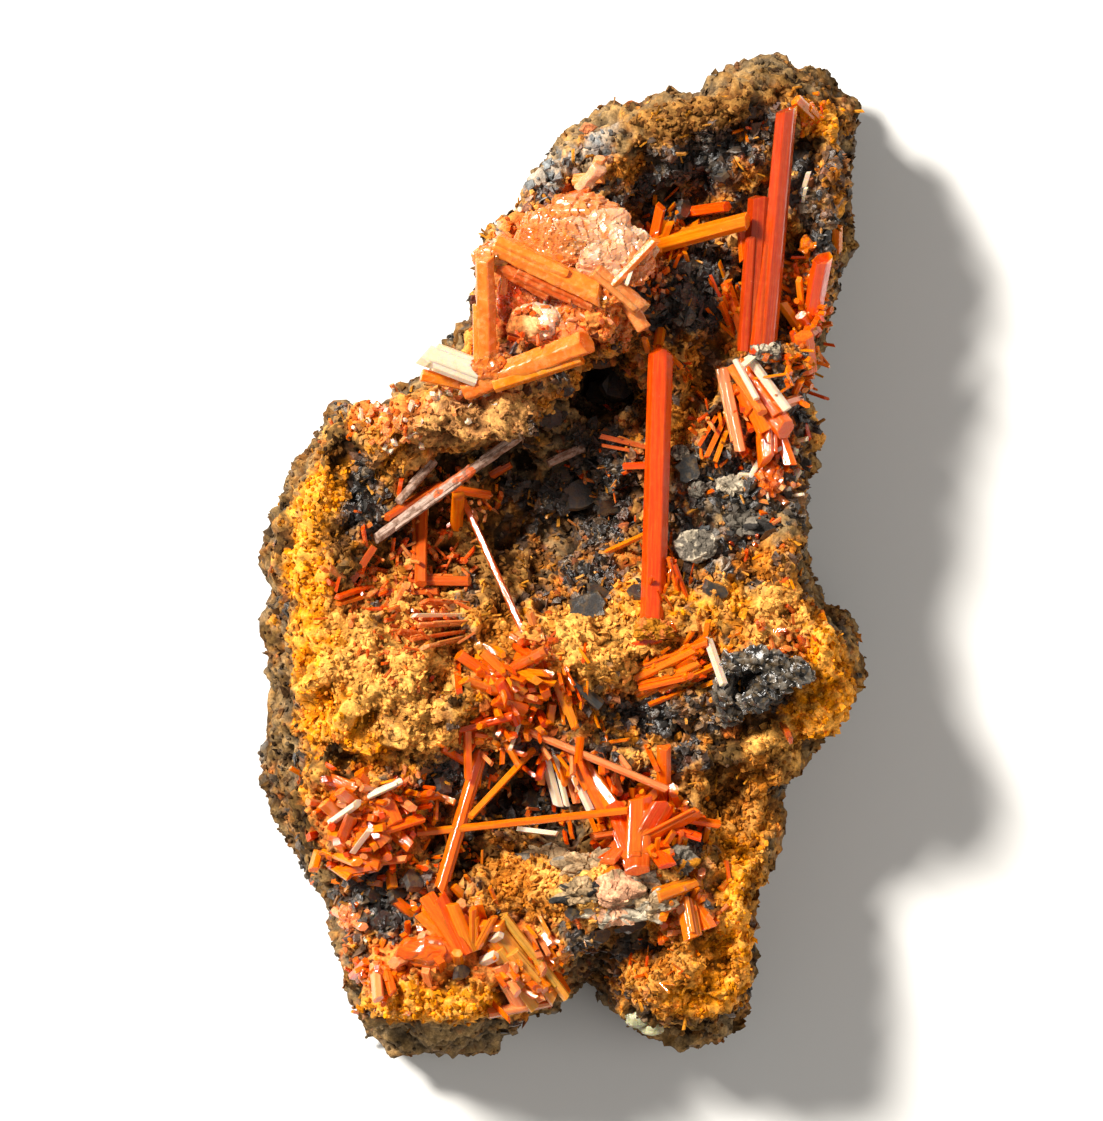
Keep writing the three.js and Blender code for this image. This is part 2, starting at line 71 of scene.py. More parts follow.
RAY_START = 0.1

Span = tuple[float, float]
Place = tuple[float, float, float]
Colour = tuple[float, float, float, float]
Node = bpy.types.Node
Socket = bpy.types.NodeSocket
Material = bpy.types.Material
Mesh = bpy.types.Mesh
Model = bpy.types.Object
Shape = bmesh.types.BMesh
Points = list[bmesh.types.BMVert]


def linear(code: str) -> Colour:
    """Turn a hexadecimal screen colour into a linear one.

    Args:
        code: six hexadecimal digits.

    Returns:
        Red, green, blue and an alpha of one.
    """
    shares = [int(code[i : i + 2], 16) / 255 for i in (0, 2, 4)]
    red, green, blue = (s / 12.92 if s < 0.04045 else ((s + 0.055) / 1.055) ** 2.4 for s in shares)
    return (red, green, blue, 1.0)


# Pale yellow that colours are lightened towards: a painted highlight on what stands out of the rock, and a
# lighter random tone on the crumbs.
HIGHLIGHT_AND_PALE_TONE = linear("ffc468")


class Hue(Enum):
    """Named screen colours."""

    @property
    def colour(self) -> Colour:
        """The linear colour."""
        return linear(self.value)


class Mineral(Hue):
    """What the matrix is made of, each with its colour."""

    YELLOW = "ee9008"
    OCHRE = "c87620"
    TAN = "b47c48"
    DRAB = "766248"
    BROWN = "7a4c20"
    UMBER = "3e2a16"
    BLACK = "3e3b38"
    GREY = "888c8c"
    # Pale cream ochre: a share of it everywhere, and in its patches a painted highlight on the highest
    # lobes and the ridge.
    CREAM_AND_HIGHLIGHT = "f0aa4e"
    RUST = "c45c18"
    PEACH = "ffc08c"
    CORAL = "f07028"
    EMBER = "9c2c0c"


class Tint(Hue):
    """Colours of the crystals and the small lumps."""

    ORANGE = "ff6c06"
    RED = "f25204"
    GARNET = "cf4408"
    BRICK = "d85e1a"
    BRIGHT = "ff8008"
    HONEY = "ffa238"
    AMBER = "ff8026"
    PINK = "ff9254"
    # Pale pinkish white: the stained crust's own colour, and a painted glint on the crystals that are given
    # it where a white glint shows.
    PALE = "ffdec0"
    BLUSH = "ffbc90"
    STAINED = "f48c44"
    COATED = "bc9c88"
    OXIDE = "393633"
    GOLD = "c88020"
    CHIP = "dcd8ac"
    NODULE = "82786a"
    PALE_NODULE = "c6b69c"
    RIDGE = "be9e76"


class Tip(Enum):
    """How a crystal ends."""

    ASLANT = "one slanted face"
    ROOF = "two faces that meet in a ridge"
    HOPPER = "a slanted face with a hollow in it"
    BLUNT = "a flat end"


def fill(node: Node, **values: object) -> None:
    """Set a node's own input values, with an underscore for each space in an input's name."""
    for name, value in values.items():
        node.inputs[name.replace("_", " ")].default_value = value


@dataclass(frozen=True)
class NodeKit:
    """Short ways to add and link shader nodes in one material."""

    material: Material

    @classmethod
    def start(cls, name: str) -> "NodeKit":
        """Start a material.

        Args:
            name: the material's name.

        Returns:
            A kit that adds nodes to it.
        """
        material = bpy.data.materials.new(name)
        material.use_nodes = True
        return cls(material)

    @property
    def shader(self) -> Node:
        """The material's Principled shader."""
        return self.material.node_tree.nodes["Principled BSDF"]

    def add(self, kind: str, **values: object) -> Node:
        """Add a node and set its plain properties.

        Args:
            kind: the node's type name.
            values: property names and values.

        Returns:
            The new node.
        """
        node = self.material.node_tree.nodes.new(kind)
        for name, value in values.items():
            setattr(node, name, value)
        return node

    def link(self, source: Socket, target: Socket) -> None:
        """Join two sockets."""
        self.material.node_tree.links.new(source, target)

    def attribute(self, name: str) -> Node:
        """Add a node that reads an attribute of the mesh."""
        return self.add("ShaderNodeAttribute", attribute_name=name)

    def noise(self, vector: Socket, scale: float, detail: float) -> Socket:
        """Add a noise texture.

        Args:
            vector: the coordinates that it reads.
            scale: cells to a unit of the coordinates.
            detail: number of octaves.

        Returns:
            The texture's value.
        """
        node = self.add("ShaderNodeTexNoise")
        fill(node, Scale=scale, Detail=detail, Roughness=0.6)
        self.link(vector, node.inputs["Vector"])
        return node.outputs["Fac"]

    def ramp(self, value: Socket, given: Span, wanted: Span) -> Socket:
        """Map a range of a value to another range.

        Args:
            value: the socket to map.
            given: two of its values.
            wanted: what they become.

        Returns:
            The mapped socket.
        """
        node = self.add("ShaderNodeMapRange")
        self.link(value, node.inputs["Value"])
        fill(node, From_Min=given[0], From_Max=given[1], To_Min=wanted[0], To_Max=wanted[1])
        return node.outputs["Result"]

    def shade(self, colour: Socket, factor: Socket) -> Socket:
        """Multiply a colour by a changing grey.

        Args:
            colour: the colour socket.
            factor: the multiplier socket.

        Returns:
            The product's socket.
        """
        node = self.add("ShaderNodeVectorMath", operation="SCALE")
        self.link(colour, node.inputs[0])
        self.link(factor, node.inputs["Scale"])
        return node.outputs["Vector"]

    def bump(self, height: Socket, strength: float, distance: float, below: Socket | None = None) -> Socket:
        """Add a bump, on top of another where one is given.

        Args:
            height: the height socket.
            strength: share of the full bump.
            distance: reach in metres.
            below: normal of the bump underneath.

        Returns:
            The normal socket.
        """
        node = self.add("ShaderNodeBump")
        fill(node, Strength=strength, Distance=distance)
        self.link(height, node.inputs["Height"])
        if below is not None:
            self.link(below, node.inputs["Normal"])
        return node.outputs["Normal"]


@dataclass(frozen=True)
class EarthFinish:
    """Earthy iron oxide: coloured by the mineral attribute, crumbly at two scales."""

    name: str
    coarse: float = 900
    fine: float = 3800
    relief: float = 0.00035
    rough: Span = (0.9, 0.3)
    lustre: Span = (0.08, 0.75)
    plain_lustre: float = 0.2
    blotches: Span = (0.5, 1.3)
    speckles: Span = (0.6, 1.35)

    def build(self) -> Material:
        """Build the material, duller where the gloss attribute is low.

        Returns:
            The finished material.
        """
        kit = NodeKit.start(self.name)
        shader = kit.shader
        place = kit.add("ShaderNodeTexCoord").outputs["Object"]
        mineral = kit.attribute(MINERAL).outputs["Color"]
        gloss = kit.attribute(GLOSS).outputs["Fac"]
        coarse = kit.noise(place, self.coarse, 6)
        fine = kit.noise(place, self.fine, 5)
        light = kit.ramp(coarse, (0.34, 0.66), self.blotches)
        speckle = kit.ramp(fine, (0.32, 0.68), self.speckles)
        kit.link(kit.shade(kit.shade(mineral, light), speckle), shader.inputs["Base Color"])
        kit.link(kit.ramp(gloss, (0, 1), self.rough), shader.inputs["Roughness"])
        fill(shader, Specular_IOR_Level=self.plain_lustre)
        kit.link(kit.ramp(gloss, (0, 1), self.lustre), shader.inputs["Specular IOR Level"])
        broad = kit.bump(coarse, 0.9, self.relief)
        kit.link(kit.bump(fine, 0.7, self.relief * 0.4, broad), shader.inputs["Normal"])
        return kit.material


@dataclass(frozen=True)
class CrystalFinish:
    """A striated crystal: its coat of dust, its lustre and how far light goes through it."""

    name: str
    transmission: float = 0.16
    ior: float = 2.0
    lustre: float = 0.35
    rough: float = 0.05
    dusty: float = 0.12
    dust: Colour = linear("a8642c")
    dust_range: Span = (0.55, 0.75)
    striation: float = 0.35
    rib_depth: float = 0.00022
    pit_depth: float = 0.0001
    streaks: Place = (5.0, 5.0, 0.22)
    streak_depth: Span = (1.2, 0.86)
    cloud_scale: float = 1500
    clouding: Span = (0.82, 1.0)
    scatter: float = 0.45
    scatter_reach: Place = (1.0, 0.45, 0.1)

    def build(self) -> Material:
        """Build the material, streaked along each crystal and clouded inside.

        Returns:
            The finished material.
        """
        kit = NodeKit.start(self.name)
        shader = kit.shader
        stretch = kit.add("ShaderNodeMapping")
        fill(stretch, Scale=self.streaks)
        kit.link(kit.attribute(GRAIN).outputs["Vector"], stretch.inputs["Vector"])
        lines = kit.noise(stretch.outputs["Vector"], 1.0, 4)
        cloud = kit.noise(kit.add("ShaderNodeTexCoord").outputs["Object"], self.cloud_scale, 4)
        absorbing = kit.add("ShaderNodeGamma")
        kit.link(kit.attribute(MINERAL).outputs["Color"], absorbing.inputs["Color"])
        kit.link(kit.ramp(lines, (0.32, 0.68), self.streak_depth), absorbing.inputs["Gamma"])
        inside = kit.shade(absorbing.outputs["Color"], kit.ramp(cloud, (0.3, 0.7), self.clouding))
        mix = kit.add("ShaderNodeMix", data_type="RGBA")
        kit.link(kit.ramp(cloud, self.dust_range, (0, self.dusty)), mix.inputs["Factor"])
        kit.link(inside, mix.inputs["A"])
        fill(mix, B=self.dust)
        kit.link(mix.outputs["Result"], shader.inputs["Base Color"])
        kit.link(kit.ramp(cloud, (0.5, 0.8), (self.rough, self.rough + 0.3)), shader.inputs["Roughness"])
        fill(shader, IOR=self.ior, Specular_IOR_Level=self.lustre, Transmission_Weight=self.transmission)
        if self.scatter:
            fill(shader, Subsurface_Weight=self.scatter, Subsurface_Radius=self.scatter_reach,
                 Subsurface_Scale=MM)
        ribs = kit.bump(lines, self.striation, self.rib_depth)
        kit.link(kit.bump(cloud, 0.15, self.pit_depth, ribs), shader.inputs["Normal"])
        return kit.material


@dataclass(frozen=True)
class FloorFinish:
    """The pale floor."""

    name: str = "pale_floor"
    colour: Colour = linear("e4e3e0")

    def build(self) -> Material:
        """Build the material.

        Returns:
            The finished material.
        """
        kit = NodeKit.start(self.name)
        fill(kit.shader, Base_Color=self.colour, Roughness=0.85)
        return kit.material


def link_object(name: str, data: bpy.types.ID) -> Model:
    """Put an object in the scene.

    Args:
        name: the object's name.
        data: the mesh, light or camera that it shows.

    Returns:
        The object.
    """
    model = bpy.data.objects.new(name, data)
    bpy.context.scene.collection.objects.link(model)
    return model


def mesh_of(shape: Shape, name: str) -> Mesh:
    """Make a mesh of a shape, and free the shape.

    Args:
        shape: the shape to read.
        name: the mesh's name.

    Returns:
        The mesh.
    """
    mesh = bpy.data.meshes.new(name)
    shape.to_mesh(mesh)
    shape.free()
    return mesh


def modified(mesh: Mesh, modifiers: dict[str, dict[str, object]]) -> Mesh:
    """Run modifiers on a mesh.

    Args:
        mesh: the mesh to start from.
        modifiers: each modifier's type, with its settings.

    Returns:
        The new mesh.
    """
    model = link_object(mesh.name, mesh)
    for kind, settings in modifiers.items():
        modifier = model.modifiers.new(kind.lower(), kind)
        for name, value in settings.items():
            setattr(modifier, name, value)
    result = bpy.data.meshes.new_from_object(model.evaluated_get(bpy.context.evaluated_depsgraph_get()))
    bpy.data.objects.remove(model)
    return result


def finish_object(name: str, mesh: Mesh, materials: dict[str, Material], finish: str,
                  replaced: tuple[str, ...] = ()) -> Model:
    """Make a finished mesh a piece of the specimen.

    Args:
        name: the piece's name.
        mesh: the mesh, in metres and in place.
        materials: the finishes by name.
        finish: the name of its finish, which is the record's material slot too.
        replaced: CAD nodes that it stands for.

    Returns:
        The piece's object.
    """
    piece = link_object(name, mesh)
    mesh.materials.clear()
    mesh.materials.append(materials[finish])
    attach(piece, "root")
    if replaced:
        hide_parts(*replaced)
    LOG.info("%s: %d faces", piece.name, len(mesh.polygons))
    return piece


@dataclass
class Ground:
    """A surface that crystals and grains are placed on, seen from above."""

    tree: BVHTree

    @classmethod
    def of(cls, mesh: Mesh) -> "Ground":
        """Build the search tree of a mesh."""
        points = [vertex.co for vertex in mesh.vertices]
        return cls(BVHTree.FromPolygons(points, [polygon.vertices for polygon in mesh.polygons]))

    def height(self, x: float, y: float) -> float | None:
        """Find the surface below a place.

        Args:
            x: millimetres to the right.
            y: millimetres up the picture.

        Returns:
            The height in millimetres, or None beside the rock.
        """
        above = Vector(((x + CENTRING[0]) * MM, (y + CENTRING[1]) * MM, RAY_START))
        hit = self.tree.ray_cast(above, -UP)[0]
        return None if hit is None else hit.z / MM

    def over(self, x: float, y: float, lift: float) -> Vector:
        """Give a point above the surface.

        Args:
            x: millimetres to the right.
            y: millimetres up the picture.
            lift: millimetres above the surface.

        Returns:
            The point in millimetres, in the part's own frame.
        """
        return Vector((x + CENTRING[0], y + CENTRING[1], (self.height(x, y) or 0) + lift))


@dataclass
class Crest:
    """The highest ground near each place, on a grid with a millimetre between its points."""

    heights: np.ndarray
    corner: Span

    @classmethod
    def of(cls, ground: Ground, corner: Span = (-34.0, -55.0), size: tuple[int, int] = (69, 111),
           reach: int = 3) -> "Crest":
        """Measure a ground.

        Args:
            ground: the surface to measure.
            corner: the grid's first point.
            size: how many points the grid has each way.
            reach: how many millimetres away the highest ground may be.

        Returns:
            The crest over that ground.
        """
        columns, rows = size
        heights = np.array([[ground.height(corner[0] + column, corner[1] + row) or 0.0
                             for row in range(rows)] for column in range(columns)])
        for _ in range(reach):
            wider = np.pad(heights, 1)
            shifts = [wider[a : a + columns, b : b + rows] for a in range(3) for b in range(3)]
            heights = np.max(shifts, axis=0)
        return cls(heights, corner)

    def above(self, points: np.ndarray) -> np.ndarray:
        """Give the crest's height over each point.

        Args:
            points: places in millimetres, one to a row.

        Returns:
            A height in millimetres for each point.
        """
        place = points[:, :2] - np.array(CENTRING) - np.array(self.corner)
        column, row = np.clip(np.rint(place).astype(int), 0, np.array(self.heights.shape) - 1).T
        return self.heights[column, row]


@dataclass(frozen=True)
class Patch:
    """A soft-edged area where a mineral shows, seen from above."""

    at: Span
    reach: Span
    weight: float = 1.2
    turn: float = 0


PATCHES = {
    Mineral.DRAB: (
        Patch((7, 42), (10, 3.4), 1.4, 0.42), Patch((20, 47), (6, 2.2), 1.3), Patch((20, 4), (5, 4), 1.5),
        Patch((-11, -49), (11, 2.2), 3.4),
    ),
    Mineral.BROWN: (
        Patch((10, 43.4), (8, 2.4), 1.3, 0.42), Patch((18, 45.5), (8, 2.6), 1.5, 0.3),
        Patch((-4, -1), (5, 4)), Patch((-13, 2), (5.5, 5)), Patch((-23.4, 2.6), (3, 1.4), 1.5),
        Patch((19.5, -23.5), (6, 4.5), 1.5),
    ),
    Mineral.GREY: (
        Patch((4.6, 41.8), (5, 2.4), 1.6, 0.6), Patch((-1.6, 38.4), (1.8, 3), 2, 0.4),
        Patch((-6.8, 31), (1.6, 2.4), 2), Patch((17, 5), (6, 6), 1.3), Patch((13.8, 0.8), (1.9, 1.5), 2.4),
        Patch((20.4, 20.3), (1.4, 1.2), 2.4), Patch((4.6, -33), (6.8, 2.8), 1.6, -0.1),
    ),
    Mineral.BLACK: (
        Patch((15, 39.5), (9, 3.6), 1.4, 0.3), Patch((12, 35.5), (6, 3), 1.2, 0.2),
        Patch((26.5, 34), (3, 9), 0.8), Patch((13, 26), (5.6, 5), 1.8), Patch((17.4, 7), (6, 8), 1.5),
        Patch((23, 14), (2.6, 8), 0.9), Patch((1, 7), (7, 8), 1.7), Patch((4.5, -4), (3, 2), 0.9),
        Patch((20, -13), (5, 3.2), 1.9), Patch((10.5, -16), (4, 2)), Patch((-18.6, 3.4), (2.6, 2.2), 1.6),
        Patch((-19.8, 6.2), (1.6, 3), 1.6, -0.5), Patch((-9.2, -3.8), (1.5, 2.4), 1.5, 0.3),
        Patch((-2, -22), (8, 4.5), 1.4), Patch((14, -20), (4, 3), 0.9), Patch((-12, -22.5), (2.2, 3), 1.4),
        Patch((-17.5, -34), (4.6, 3.2), 2), Patch((6, -38.9), (5, 1.7), 1.3),
        Patch((13.2, -28.8), (2.2, 1.6), 1.1),
    ),
    Mineral.TAN: (
        Patch((27, 35), (3, 8), 0.5), Patch((-8.5, 13.4), (7.5, 2.9), 2, 0.15),
        Patch((-15, -14), (4, 4), 0.9), Patch((5, -33), (7.5, 3.6), 1.5, -0.1),
    ),
    Mineral.OCHRE: (
        Patch((27.2, 36), (2, 3), 0.7), Patch((8.5, 38.5), (4, 1.8), 1.1), Patch((15, 35), (3, 2), 1),
        Patch((14, 21), (3, 2), 0.8), Patch((13, 14), (2.5, 4), 1), Patch((20, 0.5), (3.5, 3), 1.1),
        Patch((-17, 13), (3, 2.4), 1.4), Patch((-12, -9), (8, 6), 0.9), Patch((3, -8), (9, 3.6)),
        Patch((19.5, -24.5), (5, 3.6), 1.9), Patch((-4, -32), (5, 3.4), 1.3),
        Patch((13, -41.5), (6, 3.4), 1.3),
    ),
    Mineral.UMBER: (
        Patch((24, 48.5), (6, 2), 1.5), Patch((17, -21), (3.6, 3), 1.4),
        Patch((-22.5, 11), (3.4, 2.4), 1.3), Patch((-28.2, -16), (2, 8), 1.8),
        Patch((-26.5, -29), (2.4, 6), 1.8, 0.2), Patch((-20, -1.6), (2.6, 1.8), 1.3),
        Patch((-22, -20), (3, 1.6), 1), Patch((-9, -30), (4, 2.4)), Patch((3, -28.6), (4, 1.2), 1.6),
        Patch((-28.2, 5), (1.4, 5), 1.5), Patch((13, -48), (7, 2), 1.7),
    ),
    Mineral.YELLOW: (
        Patch((26.6, 44.6), (2.2, 2.4), 2.2), Patch((17, -4.5), (5, 2)),
        Patch((-22.5, 6.5), (4, 3), 1.4, 0.3), Patch((-26, -2), (2.6, 7), 2),
        Patch((-23, -14), (4.5, 8), 1.3), Patch((6, -7.5), (5, 2.6), 1),
        Patch((26.8, -14), (3.6, 6.5), 3.4), Patch((18.5, -29.5), (4, 2.6), 1.4), Patch((15, -42), (4, 4)),
        Patch((-13, -45), (9, 1.8), 1.9), Patch((17.6, -37), (1.9, 5), 1.5), Patch((15, -44), (3, 2), 1),
    ),
    # Painted highlight: these patches lighten the highest lobes and the ridge.
    Mineral.CREAM_AND_HIGHLIGHT: (
        Patch((-17.5, -11.5), (6, 5), 2.3), Patch((4, -8.5), (6, 3.6), 2.3), Patch((-12, -19), (4, 2)),
        Patch((7, -33), (3, 2)), Patch((0, 32.4), (2.6, 2), 2.6), Patch((23, -6), (4, 3)),
        Patch((21.5, -18.6), (4, 2.2), 1.3), Patch((-14, -4), (3, 1.4), 1.4), Patch((14.6, -41), (3, 2.4)),
        Patch((4, -33), (6, 3.2), 2.3, -0.1),
    ),
    Mineral.RUST: (
        Patch((-20, -27), (5, 6)), Patch((-8, -41), (7, 3), 1), Patch((21, 12), (4, 6), 0.9),
        Patch((-17, 14), (4, 2.4), 1.4),
    ),
    Mineral.CORAL: (
        Patch((1, 29.5), (6.6, 6), 2.4), Patch((2.8, 24), (3, 2.6), 2.6), Patch((-9, 20), (5, 3), 1),
        Patch((-17, 14), (4.2, 2.2), 2), Patch((-19.5, -26.6), (4.4, 5), 1.8),
        Patch((-17.6, -41.6), (3, 2.6), 1.6), Patch((-9.5, -38.6), (4.6, 3.6), 1.5),
        Patch((-2.6, -41.6), (3.6, 4.2), 2), Patch((8.6, -27.6), (4.6, 3.4), 1.8),
        Patch((13, -35.6), (2.6, 2.6), 1.5), Patch((21, 10.5), (2.8, 4.4), 1.6),
        Patch((-5.6, -12.6), (3.6, 3), 1.4),
    ),
    Mineral.PEACH: (
        Patch((4, 31.4), (4.2, 3), 3.2), Patch((-1.4, 23.4), (2.2, 1.9), 3.4),
        Patch((-10, 14.8), (4.4, 1.2), 1.6, 0.1), Patch((6.4, -33.4), (2.4, 1.8), 2),
    ),
    Mineral.EMBER: (
        Patch((-4.6, 25), (1.9, 3.4), 4), Patch((-2, -20), (4.6, 3), 1.3),
    ),
}


def lighten(colours: np.ndarray, light: np.ndarray) -> np.ndarray:
    """Darken colours by a factor below one, and lighten them towards a pale yellow by one above it: painted
    shade and painted highlight on the rock, a random lighter or darker tone on the crumbs.

    Args:
        colours: linear colours with alpha, one to a row.
        light: a factor for each colour.

    Returns:
        The changed colours.
    """
    # Above one the colour moves towards the pale yellow: painted highlight on the rock, random tone on the
    # crumbs.
    highlight_share = (np.clip(light - 1, 0, 1) * np.sqrt(colours[:, :3].max(axis=1)))[:, None]
    changed = colours.copy()
    changed[:, :3] *= np.minimum(light, 1)[:, None]
    changed[:, :3] += highlight_share * (np.array(HIGHLIGHT_AND_PALE_TONE[:3]) - changed[:, :3])
    return changed


@dataclass
class MineralMap:
    """Where each mineral of the matrix shows."""

    crest: Crest
    patches: dict[Mineral, tuple[Patch, ...]] = field(default_factory=lambda: PATCHES)
    everywhere: dict[Mineral, float] = field(default_factory=lambda: {
        Mineral.OCHRE: 0.55, Mineral.BROWN: 0.5, Mineral.UMBER: 0.4, Mineral.CREAM_AND_HIGHLIGHT: 0.4,
        Mineral.BLACK: 0.35, Mineral.YELLOW: 0.35, Mineral.RUST: 0.35, Mineral.TAN: 0.3,
        Mineral.DRAB: 0.15, Mineral.CORAL: 0.1,
    })
    wall: dict[Mineral, float] = field(default_factory=lambda: {
        Mineral.UMBER: 0.75, Mineral.BROWN: 0.8, Mineral.DRAB: 1.1, Mineral.BLACK: 0.5,
    })
    elsewhere_on_wall: float = 0.1
    kept_on_wall: float = 0.2
    wall_top: float = 15.0
    wall_fade: float = 6.0
    face_low: float = 21.5
    face_fade: float = 4.0
    below_crest: float = 3.5
    wander: float = 2.1
    crispness: float = 8.0

    def shares(self, points: np.ndarray) -> np.ndarray:
        """Work out how much of each mineral shows at each point.

        Args:
            points: places in millimetres, in the part's frame, one to a row.

        Returns:
            Shares that add up to one, a row for a point and a column for a mineral.
        """
        x = points[:, 0] - CENTRING[0]
        y = points[:, 1] - CENTRING[1]
        weights = np.tile([self.everywhere.get(m, 0.0) for m in Mineral], (len(points), 1))
        for column, mineral in enumerate(Mineral):
            for patch in self.patches.get(mineral, ()):
                dx = x - patch.at[0]
                dy = y - patch.at[1]
                a = (dx * math.cos(patch.turn) + dy * math.sin(patch.turn)) / patch.reach[0]
                b = (dy * math.cos(patch.turn) - dx * math.sin(patch.turn)) / patch.reach[1]
                weights[:, column] += patch.weight * np.exp(-(a**2) - b**2)
        low = self.down_wall(points)[:, None]
        sides = np.array([self.wall.get(m, self.elsewhere_on_wall) for m in Mineral])
        weights = weights * (1 - (1 - self.kept_on_wall) * low) + sides * low
        weights += self.wander * self.mottle(points, len(Mineral))
        weights = np.clip(weights, 0.02, None) ** self.crispness
        return weights / weights.sum(axis=1, keepdims=True)

    def down_wall(self, points: np.ndarray) -> np.ndarray:
        """Tell the side walls from the face with the crystals.

        Args:
            points: places in millimetres, one to a row.

        Returns:
            For each point 0 on the face with the crystals, and 1 well down a wall.
        """
        height = points[:, 2]
        wave = np.array([2.5 * noise.noise(Vector(point) * 0.35) for point in points])
        steep = (self.crest.above(points) - height - self.below_crest + wave) / self.face_fade
        steep = np.clip(steep, 0, 1) * np.clip((self.face_low - height) / self.face_fade, 0, 1)
        return np.maximum(steep, np.clip((self.wall_top - height + wave) / self.wall_fade, 0, 1))

    @staticmethod
    def mottle(points: np.ndarray, columns: int) -> np.ndarray:
        """Give independent wandering values, at a broad, a middle and a fine scale.

        Args:
            points: places in millimetres, one to a row.
            columns: how many values each point needs.

        Returns:
            Values about zero, a row for a point.
        """
        rows = []
        for point in points:
            place = Vector(point)
            values: list[float] = []
            for step in range(math.ceil(columns / 3)):
                shift = Vector((17.0 * step, 31.0, 5.0 * step))
                broad = noise.noise_vector(place * 0.28 + shift)
                middle = noise.noise_vector(place * 0.8 + shift)
                fine = noise.noise_vector(place * 2.1 + shift)
                values.extend(0.4 * broad + 0.35 * middle + 0.25 * fine)
            rows.append(values[:columns])
        return np.array(rows)

    @staticmethod
    def paint(shares: np.ndarray, light: np.ndarray) -> np.ndarray:
        """Blend the minerals' colours.

        Args:
            shares: each mineral's share at each point.
            light: how much lighter or darker each point is.

        Returns:
            Linear colours with alpha, one to a row.
        """
        return lighten(shares @ np.array([m.colour for m in Mineral]), light)


def set_point_colours(mesh: Mesh, colours: np.ndarray, gloss: np.ndarray) -> None:
    """Store the colours and the gloss on the mesh's points.

    Args:
        mesh: the mesh to colour.
        colours: linear colours with alpha, a row for a point.
        gloss: one value for a point.
    """
    layer = mesh.attributes.new(MINERAL, "FLOAT_COLOR", "POINT")
    layer.data.foreach_set("color", colours.astype(np.float32).ravel())
    sheen = mesh.attributes.new(GLOSS, "FLOAT", "POINT")
    sheen.data.foreach_set("value", gloss.astype(np.float32))


def vertex_array(mesh: Mesh, name: str) -> np.ndarray:
    """Give a property of a mesh's points that has three numbers.

    Args:
        mesh: the mesh to read.
        name: the property's name.

    Returns:
        The property, one point to a row.
    """
    flat = np.zeros(len(mesh.vertices) * 3)
    mesh.vertices.foreach_get(name, flat)
    return flat.reshape(-1, 3)


def point_array(mesh: Mesh) -> np.ndarray:
    """Give a mesh's points in millimetres, one to a row."""
    return vertex_array(mesh, "co") / MM


def gloss_of(shares: np.ndarray) -> np.ndarray:
    """Black and grey oxide shines a little, and ochre is dull."""
    minerals = list(Mineral)
    return shares[:, minerals.index(Mineral.BLACK)] + 0.6 * shares[:, minerals.index(Mineral.GREY)]


